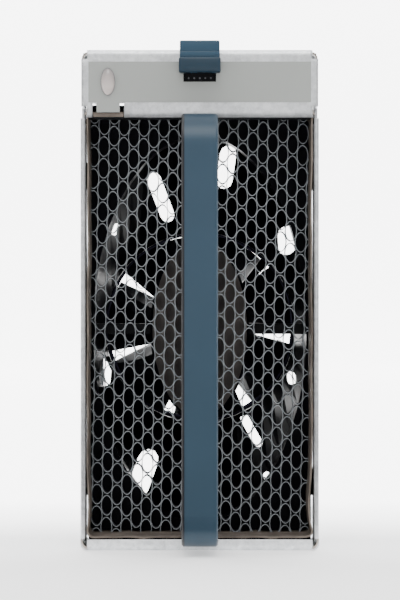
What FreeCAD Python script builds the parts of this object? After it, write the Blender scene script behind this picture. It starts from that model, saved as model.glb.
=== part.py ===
import FreeCAD, Part
import math
import os
import Sketcher
from FreeCAD import Placement, Rotation, Vector

# A hot-swap fan module: galvanised tray and cover, honeycomb inlet, oval-to-round duct and round axial fan.
# X runs across the module, +Y goes into the chassis and +Z is up. The origin is the middle of the base.

SIZES = {
    # housing
    "module_width": (88.0, "outside width of the tray"),
    "module_height": (184.4, "base to top of the cover"),
    "module_depth": (120.0, "front rims to rear edge"),
    "steel_gauge": (1.0, "galvanised sheet"),
    "bend_radius": (2.2, "outside radius of the tray's bends"),
    "rim_width": (1.9, "folded front rim of each side wall"),
    "rim_depth": (8.0, "length of the folded rim"),
    "lip_height": (3.9, "upturned front lip of the floor"),
    "corner_relief": (2.5, "gap between the lip and each side wall's face"),
    "fit_gap": (0.3, "clearance between separate sheet parts"),
    # fascia
    "fascia_width": (87.2, "cover and fascia"),
    "fascia_height": (25.0, "fascia, with its lower flange"),
    "flange_depth": (11.0, "lower flange of the fascia"),
    "fascia_bend": (1.6, "outside radius of the cover's bends"),
    "ear_depth": (12.0, "side returns of the fascia"),
    "ear_height": (17.5, "side returns of the fascia"),
    "ear_drop": (3.4, "side returns below the cover's top"),
    "skirt_depth": (10.0, "down-turned edges inside the side walls"),
    "label_width": (81.9, "grey overlay"),
    "label_height": (14.9, "grey overlay"),
    "label_drop": (4.5, "overlay below the cover's top"),
    "label_thick": (0.25, "grey overlay"),
    "tongue_left": (33.7, "tongue's middle, left of centre"),
    "tongue_width": (8.5, "snap tongue below the overlay"),
    "tongue_slot": (1.6, "slots beside the tongue"),
    "tongue_reach": (3.7, "tongue below the overlay"),
    # status light
    "light_left": (33.8, "light's middle, left of centre"),
    "light_height": (172.5, "light's middle above the base"),
    "light_half_wide": (2.5, "oval window"),
    "light_half_high": (4.9, "oval window"),
    "light_clearance": (0.1, "window in its hole"),
    # inlet
    "frame_width": (83.6, "honeycomb frame"),
    "frame_base": (4.2, "frame's underside above the base"),
    "frame_top": (161.6, "frame's top above the base"),
    "frame_gauge": (0.6, "frame strip"),
    "frame_corner": (6.0, "frame's outside corners"),
    "frame_front": (58.0, "frame's front edge, ahead of the module's middle"),
    "cell_pitch": (8.175, "height of a honeycomb cell, wall to wall"),
    "column_pitch": (3.735, "distance between columns of cells"),
    "cell_wall": (0.55, "honeycomb wall"),
    "core_thick": (6.4, "honeycomb core"),
    "core_front": (42.0, "core's front, ahead of the module's middle"),
    # handle
    "strap_width": (13.0, "handle strap"),
    "strap_thick": (2.0, "handle strap"),
    "strap_reach": (28.0, "strap's face ahead of the rims"),
    "strap_radius": (12.0, "outside radius of its two bends"),
    "strap_edge": (0.6, "broken long edges"),
    "anchor_height": (3.3, "folded lip tab under the strap's foot"),
    "foot_length": (13.0, "feet inside the rims"),
    # latch
    "latch_width": (15.3, "lower block of the button"),
    "latch_upper_width": (14.7, "upper block of the button"),
    "latch_top": (187.4, "button's top above the base"),
    "latch_low": (175.5, "button's underside above the base"),
    "latch_step": (181.0, "step between the blocks"),
    "latch_reach": (5.6, "button ahead of the fascia"),
    "latch_neck": (11.4, "neck in the cover's notch"),
    "latch_travel": (3.0, "travel of the button"),
    "slider_width": (18.4, "dark slider behind the fascia"),
    "spring_gauge": (0.3, "latch spring"),
    # duct and fan
    "fan_height": (81.2, "fan axis above the base"),
    "duct_front": (35.0, "duct's flange, ahead of the module's middle"),
    "duct_width": (84.4, "duct's flange"),
    "duct_top": (166.0, "duct's flange above the base"),
    "duct_wall": (1.6, "duct's wall"),
    "mouth_half_wide": (40.6, "oval mouth"),
    "mouth_half_high": (73.5, "oval mouth"),
    "fan_bore": (38.3, "radius of the fan's bore"),
    "shroud_front": (19.0, "front of the fan, behind the module's middle"),
    "shroud_length": (38.0, "fan shroud"),
    "ear_angle": (12.0, "fixing ears above and below the fan's middle"),
    "ear_circle": (41.7, "radius of the fixing screws"),
    "screw_radius": (1.2, "shank of the small screws"),
    "body_half_wide": (18.9, "oval front of the centre body"),
    "body_half_high": (34.5, "oval front of the centre body"),
    "strut_width": (4.0, "struts of the centre body"),
    "hub_radius": (18.0, "impeller hub"),
    "blade_count": (7, "impeller blades"),
    "tip_gap": (0.7, "blade tip to bore"),
    "shaft_radius": (1.5, "motor shaft"),
    "running_gap": (0.03, "shaft in its bearings"),
    "bearing_radius": (4.0, "outside of the bearings"),
    "bearing_length": (4.0, "ball bearings"),
    # rear
    "panel_inset": (2.0, "rear panel ahead of the tray's rear edge"),
    "panel_rim": (2.4, "rear panel beside its opening"),
    "pin_bore": (2.5, "guide pin's bore"),
    "pin_length": (14.0, "guide block"),
}

doc = FreeCAD.newDocument("server_fan_module")
sheet = doc.addObject("Spreadsheet::Sheet", "sizes")


class Size:
    """A length in millimetres together with the sheet formula that it comes from."""

    def __init__(self, value, formula):
        self.value = value
        self.formula = formula

    def __add__(self, other):
        return Size(self.value + number(other), f"({self.formula} + {text(other)})")

    def __radd__(self, other):
        return Size(number(other) + self.value, f"({text(other)} + {self.formula})")

    def __sub__(self, other):
        return Size(self.value - number(other), f"({self.formula} - {text(other)})")

    def __rsub__(self, other):
        return Size(number(other) - self.value, f"({text(other)} - {self.formula})")

    def __mul__(self, other):
        return Size(self.value * number(other), f"({self.formula} * {text(other)})")

    __rmul__ = __mul__

    def __truediv__(self, other):
        return Size(self.value / number(other), f"({self.formula} / {text(other)})")

    def __neg__(self):
        return Size(-self.value, f"(0 - {self.formula})")


def number(size):
    return size.value if isinstance(size, Size) else float(size)


def text(size):
    return size.formula if isinstance(size, Size) else f"({float(size):.6f})"


for row, (alias, (value, note)) in enumerate(SIZES.items(), start=1):
    sheet.set(f"A{row}", alias)
    sheet.set(f"B{row}", str(value))
    sheet.setAlias(f"B{row}", alias)
    sheet.set(f"C{row}", note)
doc.recompute()


def size(alias):
    return Size(float(getattr(sheet, alias)), f"sizes.{alias}")


NODES = []


def keep(item, label):
    """Names a finished sub-part, which is written out under that name."""
    item.Label = label
    NODES.append(item)
    return item


# ---------------------------------------------------------------- sketches and features


def new_body(label):
    return keep(doc.addObject("PartDesign::Body", label), label)


def new_sketch(body, plane, offset):
    """A sketch on one of the body's own origin planes, moved along that plane's normal."""
    sketch = body.newObject("Sketcher::SketchObject", f"{body.Name}_sketch")
    support = next(item for item in body.Origin.OriginFeatures if item.Role == plane)
    sketch.AttachmentSupport = (support, [""])
    sketch.MapMode = "FlatFace"
    sketch.setExpression("AttachmentOffset.Base.z", text(offset))
    return sketch


def pin_point(sketch, geometry, position, x, y):
    """Holds one point of the sketch at a place given from the sheet."""
    for kind, place, axis in (("DistanceX", x, -2), ("DistanceY", y, -1)):
        value = number(place)
        if abs(value) < 1e-9:
            sketch.addConstraint(Sketcher.Constraint("PointOnObject", geometry, position, axis))
        elif value > 0:
            index = sketch.addConstraint(Sketcher.Constraint(kind, -1, 1, geometry, position, value))
            sketch.setExpression(f"Constraints[{index}]", text(place))
        else:
            index = sketch.addConstraint(Sketcher.Constraint(kind, geometry, position, -1, 1, -value))
            sketch.setExpression(f"Constraints[{index}]", text(0 - place))


def step_towards(corner, other, distance):
    """The point at a distance from a corner, along the upright or level edge to another."""
    x, y = corner[:2]
    if abs(number(x) - number(other[0])) < 1e-6:
        sign = 1 if number(other[1]) > number(y) else -1
        return x, y + sign * distance
    sign = 1 if number(other[0]) > number(x) else -1
    return x + sign * distance, y


def draw_outline(sketch, corners):
    """Closes a profile through its corners, (x, y) or (x, y, radius) where a square corner is rounded."""
    count = len(corners)
    ends = []
    for index, corner in enumerate(corners):
        if len(corner) == 2:
            ends.append([corner])
        else:
            before = step_towards(corner, corners[index - 1], corner[2])
            after = step_towards(corner, corners[(index + 1) % count], corner[2])
            ends.append([before, after])
    pieces = []
    for index in range(count):
        start = ends[index][-1]
        stop = ends[(index + 1) % count][0]
        line = Part.LineSegment(flat_point(start), flat_point(stop))
        geometry = sketch.addGeometry(line, False)
        pin_point(sketch, geometry, 1, *start)
        pin_point(sketch, geometry, 2, *stop)
        pieces.append(geometry)
    for index, corner in enumerate(corners):
        if len(corner) == 3:
            round_corner(sketch, corner, ends[index], pieces[index - 1], pieces[index])
    return sketch


def flat_point(point):
    return Vector(number(point[0]), number(point[1]), 0)


def round_corner(sketch, corner, touches, line_before, line_after):
    """Joins the two edges of a square corner by an arc."""
    middle = flat_point(touches[0]) + flat_point(touches[1]) - flat_point(corner)
    radius = number(corner[2])
    angles = []
    for touch in touches:
        spoke = flat_point(touch) - middle
        angles.append(math.atan2(spoke.y, spoke.x))
    sweep = (angles[1] - angles[0]) % (2 * math.pi)
    turns_left = sweep < math.pi
    first, last = angles if turns_left else angles[::-1]
    circle = Part.Circle(middle, Vector(0, 0, 1), radius)
    arc = sketch.addGeometry(Part.ArcOfCircle(circle, first, last), False)
    start, stop = (1, 2) if turns_left else (2, 1)
    sketch.addConstraint(Sketcher.Constraint("Coincident", arc, start, line_before, 2))
    sketch.addConstraint(Sketcher.Constraint("Coincident", arc, stop, line_after, 1))
    index = sketch.addConstraint(Sketcher.Constraint("Radius", arc, radius))
    sketch.setExpression(f"Constraints[{index}]", text(corner[2]))


def draw_rectangle(sketch, left, right, low, high, radius=None):
    corners = [(left, low), (right, low), (right, high), (left, high)]
    if radius is not None:
        corners = [(x, y, radius) for x, y in corners]
    return draw_outline(sketch, corners)


def draw_circle(sketch, x, y, radius):
    middle = Vector(number(x), number(y), 0)
    circle = sketch.addGeometry(Part.Circle(middle, Vector(0, 0, 1), number(radius)), False)
    pin_point(sketch, circle, 3, x, y)
    index = sketch.addConstraint(Sketcher.Constraint("Radius", circle, number(radius)))
    sketch.setExpression(f"Constraints[{index}]", text(radius))


def draw_round_of_sides(sketch, radius, sides, x, y):
    """A round of short flat sides."""
    draw_oval(sketch, x, y, radius, radius, sides)


def draw_oval(sketch, x, y, half_wide, half_high, sides):
    """An upright oval of short flat sides."""
    angles = [2 * math.pi * (index + 0.5) / sides for index in range(sides)]
    corners = [(x + math.cos(angle) * half_wide, y + math.sin(angle) * half_high) for angle in angles]
    draw_outline(sketch, corners)


# Each plane's normal: XY looks up +Z, XZ looks along -Y, YZ looks along +X.
NORMALS = {"XY_Plane": 1, "XZ_Plane": -1, "YZ_Plane": 1}
CUTS = []


def add_prism(body, plane, low, high, draw, cut=False):
    """Pads or pockets what draw puts in a sketch, between two places along the plane's axis."""
    forward = NORMALS[plane] > 0
    if cut:
        offset = high if forward else 0 - low
    else:
        offset = low if forward else 0 - high
    sketch = new_sketch(body, plane, offset)
    draw(sketch)
    kind = "PartDesign::Pocket" if cut else "PartDesign::Pad"
    feature = body.newObject(kind, f"{body.Name}_{'pocket' if cut else 'pad'}")
    feature.Profile = sketch
    feature.setExpression("Length", text(high - low))
    body.Tip = feature
    if cut:
        CUTS.append(feature)
    return feature


def break_edges(body, chosen, width):
    """Chamfers the edges of the body's last feature that pass a test."""
    doc.recompute()
    base = body.Tip
    names = [f"Edge{index}" for index, edge in enumerate(base.Shape.Edges, start=1) if chosen(edge)]
    feature = body.newObject("PartDesign::Chamfer", f"{body.Name}_chamfer")
    feature.Base = (base, names)
    feature.setExpression("Size", text(width))
    body.Tip = feature
    return feature


# ---------------------------------------------------------------- primitives and booleans


def place(item, x, y, z):
    for axis, value in (("x", x), ("y", y), ("z", z)):
        item.setExpression(f"Placement.Base.{axis}", text(value))


def make_box(name, left, right, front, back, low, high):
    box = doc.addObject("Part::Box", name)
    box.setExpression("Length", text(right - left))
    box.setExpression("Width", text(back - front))
    box.setExpression("Height", text(high - low))
    place(box, left, front, low)
    return box


ALONG_Y = Rotation(Vector(1, 0, 0), -90)
HEAD_SIDES = 12
LENS_SIDES = 28


def make_rod(name, radius, front, back, x, z):
    """A cylinder that lies along Y."""
    rod = doc.addObject("Part::Cylinder", name)
    rod.Placement = Placement(Vector(), ALONG_Y)
    rod.setExpression("Radius", text(radius))
    rod.setExpression("Height", text(back - front))
    place(rod, x, front, z)
    return rod


def make_prism(name, sides, radius, height, turn):
    """An upright rod of flat sides, turned, for shanks and small heads."""
    rod = doc.addObject("Part::Prism", name)
    rod.Polygon = sides
    rod.Placement = Placement(Vector(), turn)
    rod.setExpression("Circumradius", text(radius))
    rod.setExpression("Height", text(height))
    return rod


def flat_face(points):
    return Part.Face(Part.makePolygon([*points, points[0]]))


def skin_over(rings):
    """A solid of flat faces over rings of equally many points, split alike on both halves of the rings."""
    faces = [flat_face(rings[0]), flat_face(rings[-1])]
    for near, far in zip(rings, rings[1:]):
        for index, corner in enumerate(near):
            after = (index + 1) % len(near)
            if index < len(near) / 2:
                faces.append(flat_face([corner, near[after], far[after]]))
                faces.append(flat_face([corner, far[after], far[index]]))
            else:
                faces.append(flat_face([corner, near[after], far[index]]))
                faces.append(flat_face([near[after], far[after], far[index]]))
    solid = Part.makeSolid(Part.makeShell(faces))
    return solid if solid.Volume > 0 else solid.reversed()


def oval_ring(y, half_wide, half_high, sides):
    """Points round an upright oval about the fan's axis."""
    turns = [2 * math.pi * (index + 0.5) / sides for index in range(sides)]
    wide = number(half_wide)
    high = number(half_high)
    return [Vector(math.cos(turn) * wide, number(y), math.sin(turn) * high) for turn in turns]


def join_ovals(stations, sides):
    """A solid about the fan's axis through ovals, each (y, half width, half height)."""
    return skin_over([oval_ring(*station, sides) for station in stations])


def faceted_rod(start, along, radius, sides):
    """A rod of flat sides from a point, along a vector."""
    turn = Rotation(Vector(0, 0, 1), along)
    angles = [2 * math.pi * index / sides for index in range(sides)]
    spokes = [Vector(math.cos(angle) * radius, math.sin(angle) * radius, 0) for angle in angles]
    return flat_face([start + turn.multVec(spoke) for spoke in spokes]).extrude(along)


def plain_box(left, right, front_y, back_y, low, high):
    """A box between six places, for the solids made about the fan's axis."""
    corner = Vector(number(left), number(front_y), number(low))
    return Part.makeBox(number(right - left), number(back_y - front_y), number(high - low), corner)


def keep_about_axis(label, shape):
    """Keeps a solid made about the fan's axis, at the axis's height."""
    item = doc.addObject("Part::Feature", label)
    item.Shape = shape
    item.setExpression("Placement.Base.z", text(size("fan_height")))
    return keep(item, label)


def fuse(name, items):
    fused = doc.addObject("Part::MultiFuse", name)
    fused.Shapes = items
    return fused


def cut_away(name, base, tool):
    cut = doc.addObject("Part::Cut", name)
    cut.Base = base
    cut.Tool = tool
    return cut


def group(label, items):
    """Identical separate pieces that share one node."""
    compound = doc.addObject("Part::Compound", label)
    compound.Links = items
    return keep(compound, label)


# ---------------------------------------------------------------- places shared by several pieces

zero = Size(0.0, "0")
steel = size("steel_gauge")
half_width = size("module_width") / 2
front = 0 - size("module_depth") / 2
back = size("module_depth") / 2
top = size("module_height")
wall_inside = half_width - steel
wall_top = top - steel
fascia_back = front + steel
flange_top = top - size("fascia_height") + steel
flange_under = top - size("fascia_height")
flange_back = front + size("flange_depth")
gap = size("fit_gap")
axis_height = size("fan_height")

rivet_radius = size("screw_radius")
cover_rivet_height = wall_top - size("skirt_depth") / 2
cover_rivet_places = [front + 30, back - 20]
duct_screw_depth = 0 - size("duct_front") + 5
duct_screw_heights = [axis_height - 58, axis_height + 58]
strap_rivet_spread = size("strap_width") / 4
strap_rivet_top_y = front + size("flange_depth") / 2
strap_rivet_low_y = front + size("foot_length") - 4
board_fixing_height = size("light_height") + 8
board_fixings = [(size("light_left") + 4, board_fixing_height), (size("light_left") - 5, board_fixing_height)]


def draw_strap_holes(sketch, y):
    """The pair of rivet holes at one end of the handle strap."""
    for side in (-1, 1):
        draw_round_of_sides(sketch, rivet_radius + 0.05, HEAD_SIDES, side * strap_rivet_spread, y)


# ---------------------------------------------------------------- housing tray


def build_tray():
    """One folded sheet: floor, side walls with folded front rims, and a front lip."""
    body = new_body("housing_tray")
    inner_bend = size("bend_radius") - steel

    def channel(sketch):
        corners = [
            (0 - half_width, wall_top),
            (0 - half_width, zero, size("bend_radius")),
            (half_width, zero, size("bend_radius")),
            (half_width, wall_top),
            (wall_inside, wall_top),
            (wall_inside, steel, inner_bend),
            (0 - wall_inside, steel, inner_bend),
            (0 - wall_inside, wall_top),
        ]
        draw_outline(sketch, corners)

    add_prism(body, "XZ_Plane", front + size("rim_width") / 2, back, channel)

    def wall_cutback(sketch):
        draw_rectangle(
            sketch,
            front - 1,
            front + size("ear_depth") + gap,
            flange_under - gap,
            top + 1,
        )

    add_prism(body, "YZ_Plane", 0 - half_width - 1, half_width + 1, wall_cutback, cut=True)
    rim_round = size("rim_width") / 2 - 0.05
    for side in (-1, 1):
        near = wall_inside - size("rim_width") + steel

        def rim(sketch):
            inner = side * near
            outer = side * half_width
            corners = [
                (inner, front + size("rim_depth")),
                (inner, front, rim_round),
                (outer, front, rim_round),
                (outer, front + size("rim_depth")),
            ]
            draw_outline(sketch, corners)

        add_prism(body, "XY_Plane", size("lip_height") + 0.4, flange_under - gap, rim)

    def lip(sketch):
        corners = [
            (front + size("rim_depth"), zero),
            (front, zero, size("bend_radius")),
            (front, size("lip_height")),
            (fascia_back, size("lip_height")),
            (fascia_back, steel, inner_bend),
            (front + size("rim_depth"), steel),
        ]
        draw_outline(sketch, corners)

    lip_edge = half_width - size("corner_relief")
    add_prism(body, "YZ_Plane", 0 - lip_edge, lip_edge, lip)

    def lip_notch(sketch):
        draw_rectangle(sketch, front - 1, fascia_back + 0.5, size("anchor_height"), size("lip_height") + 1)

    notch_half = size("strap_width") / 2 + gap
    add_prism(body, "YZ_Plane", 0 - notch_half, notch_half, lip_notch, cut=True)

    def anchor(sketch):
        draw_rectangle(
            sketch,
            front + steel / 2,
            front + size("foot_length"),
            size("anchor_height") - steel,
            size("anchor_height"),
        )

    add_prism(body, "YZ_Plane", 0 - notch_half + gap, notch_half - gap, anchor)

    def wall_holes(sketch):
        for y in cover_rivet_places:
            draw_round_of_sides(sketch, rivet_radius + 0.1, HEAD_SIDES, y, cover_rivet_height)
        for z in duct_screw_heights:
            draw_round_of_sides(sketch, rivet_radius + 0.1, HEAD_SIDES, duct_screw_depth, z)

    add_prism(body, "YZ_Plane", 0 - half_width - 1, half_width + 1, wall_holes, cut=True)

    def anchor_holes(sketch):
        draw_strap_holes(sketch, strap_rivet_low_y)

    add_prism(body, "XY_Plane", steel + 0.2, size("anchor_height") + 1, anchor_holes, cut=True)


# ---------------------------------------------------------------- top cover and fascia

notch_half = size("latch_neck") / 2 + 0.3
notch_floor = size("latch_low") - size("latch_travel")
notch_back = front + 14
tongue_middle = 0 - size("tongue_left")
tongue_half = size("tongue_width") / 2
label_top = top - size("label_drop")
label_low = label_top - size("label_height")
tongue_low = label_low - size("tongue_reach")


def build_cover():
    """The lid, folded down in front as the fascia and back under it as a flange."""
    body = new_body("top_cover")
    half = size("fascia_width") / 2
    bend = size("fascia_bend")
    inner_bend = bend - steel

    def fold(sketch):
        corners = [
            (back, top),
            (front, top, bend),
            (front, flange_under, bend),
            (flange_back, flange_under),
            (flange_back, flange_top),
            (fascia_back, flange_top, inner_bend),
            (fascia_back, wall_top, inner_bend),
            (back, wall_top),
        ]
        draw_outline(sketch, corners)

    add_prism(body, "YZ_Plane", 0 - half, half, fold)
    relief = half_width - size("corner_relief")
    ear_high = top - size("ear_drop")
    ear_low = ear_high - size("ear_height")
    for low, high in ((ear_high, top + 1), (flange_under - 1, ear_low)):

        def corner_gap(sketch):
            draw_rectangle(sketch, front - 1, front + size("ear_depth") + gap, low, high)

        add_prism(body, "YZ_Plane", relief, half + 1, corner_gap, cut=True)
        add_prism(body, "YZ_Plane", 0 - half - 1, 0 - relief, corner_gap, cut=True)

    def ear(sketch):
        draw_rectangle(sketch, front + steel / 2, front + size("ear_depth"), ear_low, ear_high)

    add_prism(body, "YZ_Plane", half - steel, half, ear)
    add_prism(body, "YZ_Plane", 0 - half, steel - half, ear)
    skirt_outside = wall_inside - 0.1

    def skirt(sketch):
        low = wall_top - size("skirt_depth")
        draw_rectangle(sketch, front + size("ear_depth") + 2, back - 6, low, wall_top + steel / 2)

    add_prism(body, "YZ_Plane", skirt_outside - steel, skirt_outside, skirt)
    add_prism(body, "YZ_Plane", 0 - skirt_outside, steel - skirt_outside, skirt)

    def latch_notch(sketch):
        draw_rectangle(sketch, 0 - notch_half, notch_half, notch_floor, top + 1)

    add_prism(body, "XZ_Plane", front - 1, notch_back, latch_notch, cut=True)

    def light_hole(sketch):
        clear = size("light_clearance")
        draw_oval(
            sketch,
            0 - size("light_left"),
            size("light_height"),
            size("light_half_wide") + clear,
            size("light_half_high") + clear,
            LENS_SIDES,
        )

    add_prism(body, "XZ_Plane", front - 1, fascia_back + 1, light_hole, cut=True)

    def tongue_slots(sketch):
        outer = tongue_half + size("tongue_slot")
        corners = [
            (tongue_middle - outer, flange_under - 1),
            (tongue_middle + outer, flange_under - 1),
            (tongue_middle + outer, label_low - 0.4),
            (tongue_middle + tongue_half, label_low - 0.4),
            (tongue_middle + tongue_half, tongue_low),
            (tongue_middle - tongue_half, tongue_low),
            (tongue_middle - tongue_half, label_low - 0.4),
            (tongue_middle - outer, label_low - 0.4),
        ]
        draw_outline(sketch, corners)

    add_prism(body, "XZ_Plane", front - 1, front + 4, tongue_slots, cut=True)

    def rivet_holes(sketch):
        for y in cover_rivet_places:
            draw_round_of_sides(sketch, rivet_radius + 0.1, HEAD_SIDES, y, cover_rivet_height)

    add_prism(body, "YZ_Plane", 0 - half_width, half_width, rivet_holes, cut=True)

    def strap_holes(sketch):
        draw_strap_holes(sketch, strap_rivet_top_y)

    add_prism(body, "XY_Plane", flange_under - 1, flange_top + 1, strap_holes, cut=True)


def build_label():
    """The grey overlay on the fascia, with a tab that follows the snap tongue."""
    body = new_body("fascia_label")
    half = size("label_width") / 2

    def overlay(sketch):
        corners = [
            (0 - half, label_low),
            (tongue_middle - tongue_half, label_low),
            (tongue_middle - tongue_half, tongue_low),
            (tongue_middle + tongue_half, tongue_low),
            (tongue_middle + tongue_half, label_low),
            (half, label_low),
            (half, label_top),
            (notch_half, label_top),
            (notch_half, notch_floor),
            (0 - notch_half, notch_floor),
            (0 - notch_half, label_top),
            (0 - half, label_top),
        ]
        draw_outline(sketch, corners)
        clear = size("light_clearance")
        draw_oval(
            sketch,
            0 - size("light_left"),
            size("light_height"),
            size("light_half_wide") + clear,
            size("light_half_high") + clear,
            LENS_SIDES,
        )

    add_prism(body, "XZ_Plane", front - size("label_thick"), front, overlay)


# ---------------------------------------------------------------- status light

light_rear = front + 5
light_flange = 1.0
standoff_reach = 7.0


def build_light():
    """An oval light pipe, the board behind it, its chip and its two standoffs."""
    body = new_body("led_lens")
    x = 0 - size("light_left")
    z = size("light_height")
    wide = size("light_half_wide")
    high = size("light_half_high")

    def pipe(sketch):
        draw_oval(sketch, x, z, wide, high, LENS_SIDES)

    add_prism(body, "XZ_Plane", front - 0.9, light_rear, pipe)

    def flange(sketch):
        draw_rectangle(sketch, x - wide - 1, x + wide + 1, z - high - 1, z + high + 1)

    add_prism(body, "XZ_Plane", fascia_back, fascia_back + light_flange, flange)
    chip_depth = Size(1.2, "1.2")
    board_front = fascia_back + standoff_reach
    half = 1.5
    chip = make_box("led_chip", x - half, x + half, board_front - chip_depth, board_front, z - half, z + half)
    keep(chip, "led_chip")
    posts = []
    for left, height in board_fixings:
        post = make_prism("standoff", 6, 1.6, standoff_reach, ALONG_Y)
        place(post, 0 - left, fascia_back, height)
        posts.append(post)
    group("board_standoffs", posts)
    board = new_body("status_board")

    def outline(sketch):
        draw_rectangle(sketch, x - 6.5, x + 8, z - 5, z + 10)

    add_prism(board, "XZ_Plane", board_front, board_front + 1.2, outline)


# ---------------------------------------------------------------- honeycomb inlet

frame_half = size("frame_width") / 2
core_front = 0 - size("core_front")
duct_face = 0 - size("duct_front")


def build_honeycomb_frame():
    """A thin strip bent round the core, cut back under the fascia's flange and over the strap's foot."""
    body = new_body("honeycomb_frame")
    strip = size("frame_gauge")
    base = size("frame_base")

    def loop(sketch):
        draw_rectangle(sketch, 0 - frame_half, frame_half, base, size("frame_top"), size("frame_corner"))
        draw_rectangle(
            sketch,
            strip - frame_half,
            frame_half - strip,
            base + strip,
            size("frame_top") - strip,
            size("frame_corner") - strip,
        )

    add_prism(body, "XZ_Plane", 0 - size("frame_front"), duct_face, loop)

    def under_flange(sketch):
        edge = 0 - size("frame_front")
        draw_rectangle(sketch, edge - 1, flange_back + 1, flange_under - 0.5, size("frame_top") + 1)

    add_prism(body, "YZ_Plane", 0 - frame_half - 1, frame_half + 1, under_flange, cut=True)

    def strap_gap(sketch):
        half = size("strap_width") / 2 + 0.5
        draw_rectangle(sketch, 0 - half, half, 0 - size("frame_front") - 1, front + size("foot_length") + 1)

    add_prism(body, "XY_Plane", base - 1, base + 3, strap_gap, cut=True)

    clip = new_body("frame_clip")

    def hook(sketch):
        inner = fascia_back + gap
        shelf = flange_top + gap
        gauge = 0.5
        corners = [
            (inner, flange_under + gap),
            (inner, shelf + gauge),
            (flange_back, shelf + gauge),
            (flange_back, size("frame_top") + gauge),
            (flange_back + 8, size("frame_top") + gauge),
            (flange_back + 8, size("frame_top")),
            (flange_back + gauge, size("frame_top")),
            (flange_back + gauge, shelf),
            (inner + gauge, shelf),
            (inner + gauge, flange_under + gap),
        ]
        draw_outline(sketch, corners)

    edge = tongue_half + size("tongue_slot") - gap
    add_prism(clip, "YZ_Plane", tongue_middle - edge, tongue_middle + edge, hook)


def build_honeycomb_core():
    """A block of tall six-sided cells in staggered columns, open from front to back."""
    clear = 0.1
    half = number(frame_half - size("frame_gauge")) - clear
    low = number(size("frame_base") + size("frame_gauge")) + clear
    high = number(size("frame_top") - size("frame_gauge")) - clear
    column = number(size("column_pitch"))
    pitch = number(size("cell_pitch"))
    wall = number(size("cell_wall"))
    thick = number(size("core_thick"))
    half_cell = pitch / 2 - wall / 2
    point = 2 / 3 * column - wall * 0.65
    shoulder = column / 3 - wall * 0.3
    middle = (low + high) / 2
    rise = (high - low) / 2
    corner = number(size("frame_corner") - size("frame_gauge"))

    def clear_of_rim(spot):
        past_side = max(abs(spot.x) - half + corner, 0)
        past_end = max(abs(spot.z - middle) - rise + corner, 0)
        return math.hypot(past_side, past_end) < corner - wall

    columns = int(half / column)
    rows = int(rise / pitch) + 1
    cells = []
    for across in range(-columns, columns + 1):
        x = across * column
        for up in range(-rows, rows + 1):
            z = middle + (up + 0.5 * (across % 2)) * pitch
            corners = [
                Vector(x - point, 0, z),
                Vector(x - shoulder, 0, z - half_cell),
                Vector(x + shoulder, 0, z - half_cell),
                Vector(x + point, 0, z),
                Vector(x + shoulder, 0, z + half_cell),
                Vector(x - shoulder, 0, z + half_cell),
            ]
            if all(clear_of_rim(spot) for spot in corners):
                cells.append(Part.makePolygon(corners + corners[:1]))
    rim = []
    for start, right, up in ((0, 1, 1), (90, -1, 1), (180, -1, -1), (270, 1, -1)):
        for turn in range(start, start + 91, 30):
            angle = math.radians(turn)
            x = right * (half - corner) + corner * math.cos(angle)
            z = up * (rise - corner) + corner * math.sin(angle)
            rim.append(Vector(x, 0, middle + z))
    face = Part.makeFace([Part.makePolygon(rim + rim[:1])] + cells, "Part::FaceMakerBullseye")
    core = doc.addObject("Part::Feature", "honeycomb_core")
    core.Shape = face.extrude(Vector(0, thick, 0))
    core.setExpression("Placement.Base.y", text(core_front))
    keep(core, "honeycomb_core")


# ---------------------------------------------------------------- handle


def build_handle():
    """A strap bent twice, riveted under the fascia's flange and on the lip's folded tab."""
    body = new_body("handle_strap")
    thick = size("strap_thick")
    outer = front - size("strap_reach")
    radius = size("strap_radius")
    low = size("anchor_height")
    top_foot = flange_back - 1
    low_foot = front + size("foot_length")

    def bends(sketch):
        corners = [
            (top_foot, flange_under),
            (outer, flange_under, radius),
            (outer, low, radius),
            (low_foot, low),
            (low_foot, low + thick),
            (outer + thick, low + thick, radius - thick),
            (outer + thick, flange_under - thick, radius - thick),
            (top_foot, flange_under - thick),
        ]
        draw_outline(sketch, corners)

    half = size("strap_width") / 2
    add_prism(body, "YZ_Plane", 0 - half, half, bends)

    def faces_out(edge):
        middle = edge.valueAt((edge.FirstParameter + edge.LastParameter) / 2)
        on_side = abs(abs(middle.x) - number(half)) < 1e-4
        flat = abs(edge.BoundBox.XLength) < 1e-4
        bar = abs(middle.y - number(outer)) < 1e-4
        bend_top = middle.y < number(outer + radius) and middle.z > number(flange_under - radius / 2)
        bend_low = middle.y < number(outer + radius) and middle.z < number(low + radius / 2)
        level = abs(middle.z - number(low)) < 1e-4 or abs(middle.z - number(flange_under)) < 1e-4
        outside_bend = (bend_top or bend_low) and edge.Length > number(radius) * 1.5 - 1
        return on_side and flat and (bar or (level and edge.Length > 5) or outside_bend)

    break_edges(body, faces_out, size("strap_edge"))

    def foot_holes(sketch):
        draw_strap_holes(sketch, strap_rivet_top_y)
        draw_strap_holes(sketch, strap_rivet_low_y)

    add_prism(body, "XY_Plane", low - 1, flange_under + 1, foot_holes, cut=True)
    rivets = []
    for side in (-1, 1):
        for y, under, over in (
            (strap_rivet_top_y, flange_under - thick, flange_top),
            (strap_rivet_low_y, low - steel, low + thick),
        ):
            rivets.append(make_rivet(side * strap_rivet_spread, y, under, over))
    group("handle_rivets", rivets)


def make_rivet(x, y, low, high):
    """An upright rivet with a flat round head at each end."""
    head = 0.7
    shank = make_prism("rivet_shank", 6, rivet_radius, high - low, Rotation())
    place(shank, x, y, low)
    pieces = [shank]
    for start in (low - head, high):
        disc = make_prism("rivet_head", HEAD_SIDES, rivet_radius + 0.8, head, Rotation())
        place(disc, x, y, start)
        pieces.append(disc)
    return fuse("rivet", pieces)


# ---------------------------------------------------------------- latch

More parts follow.
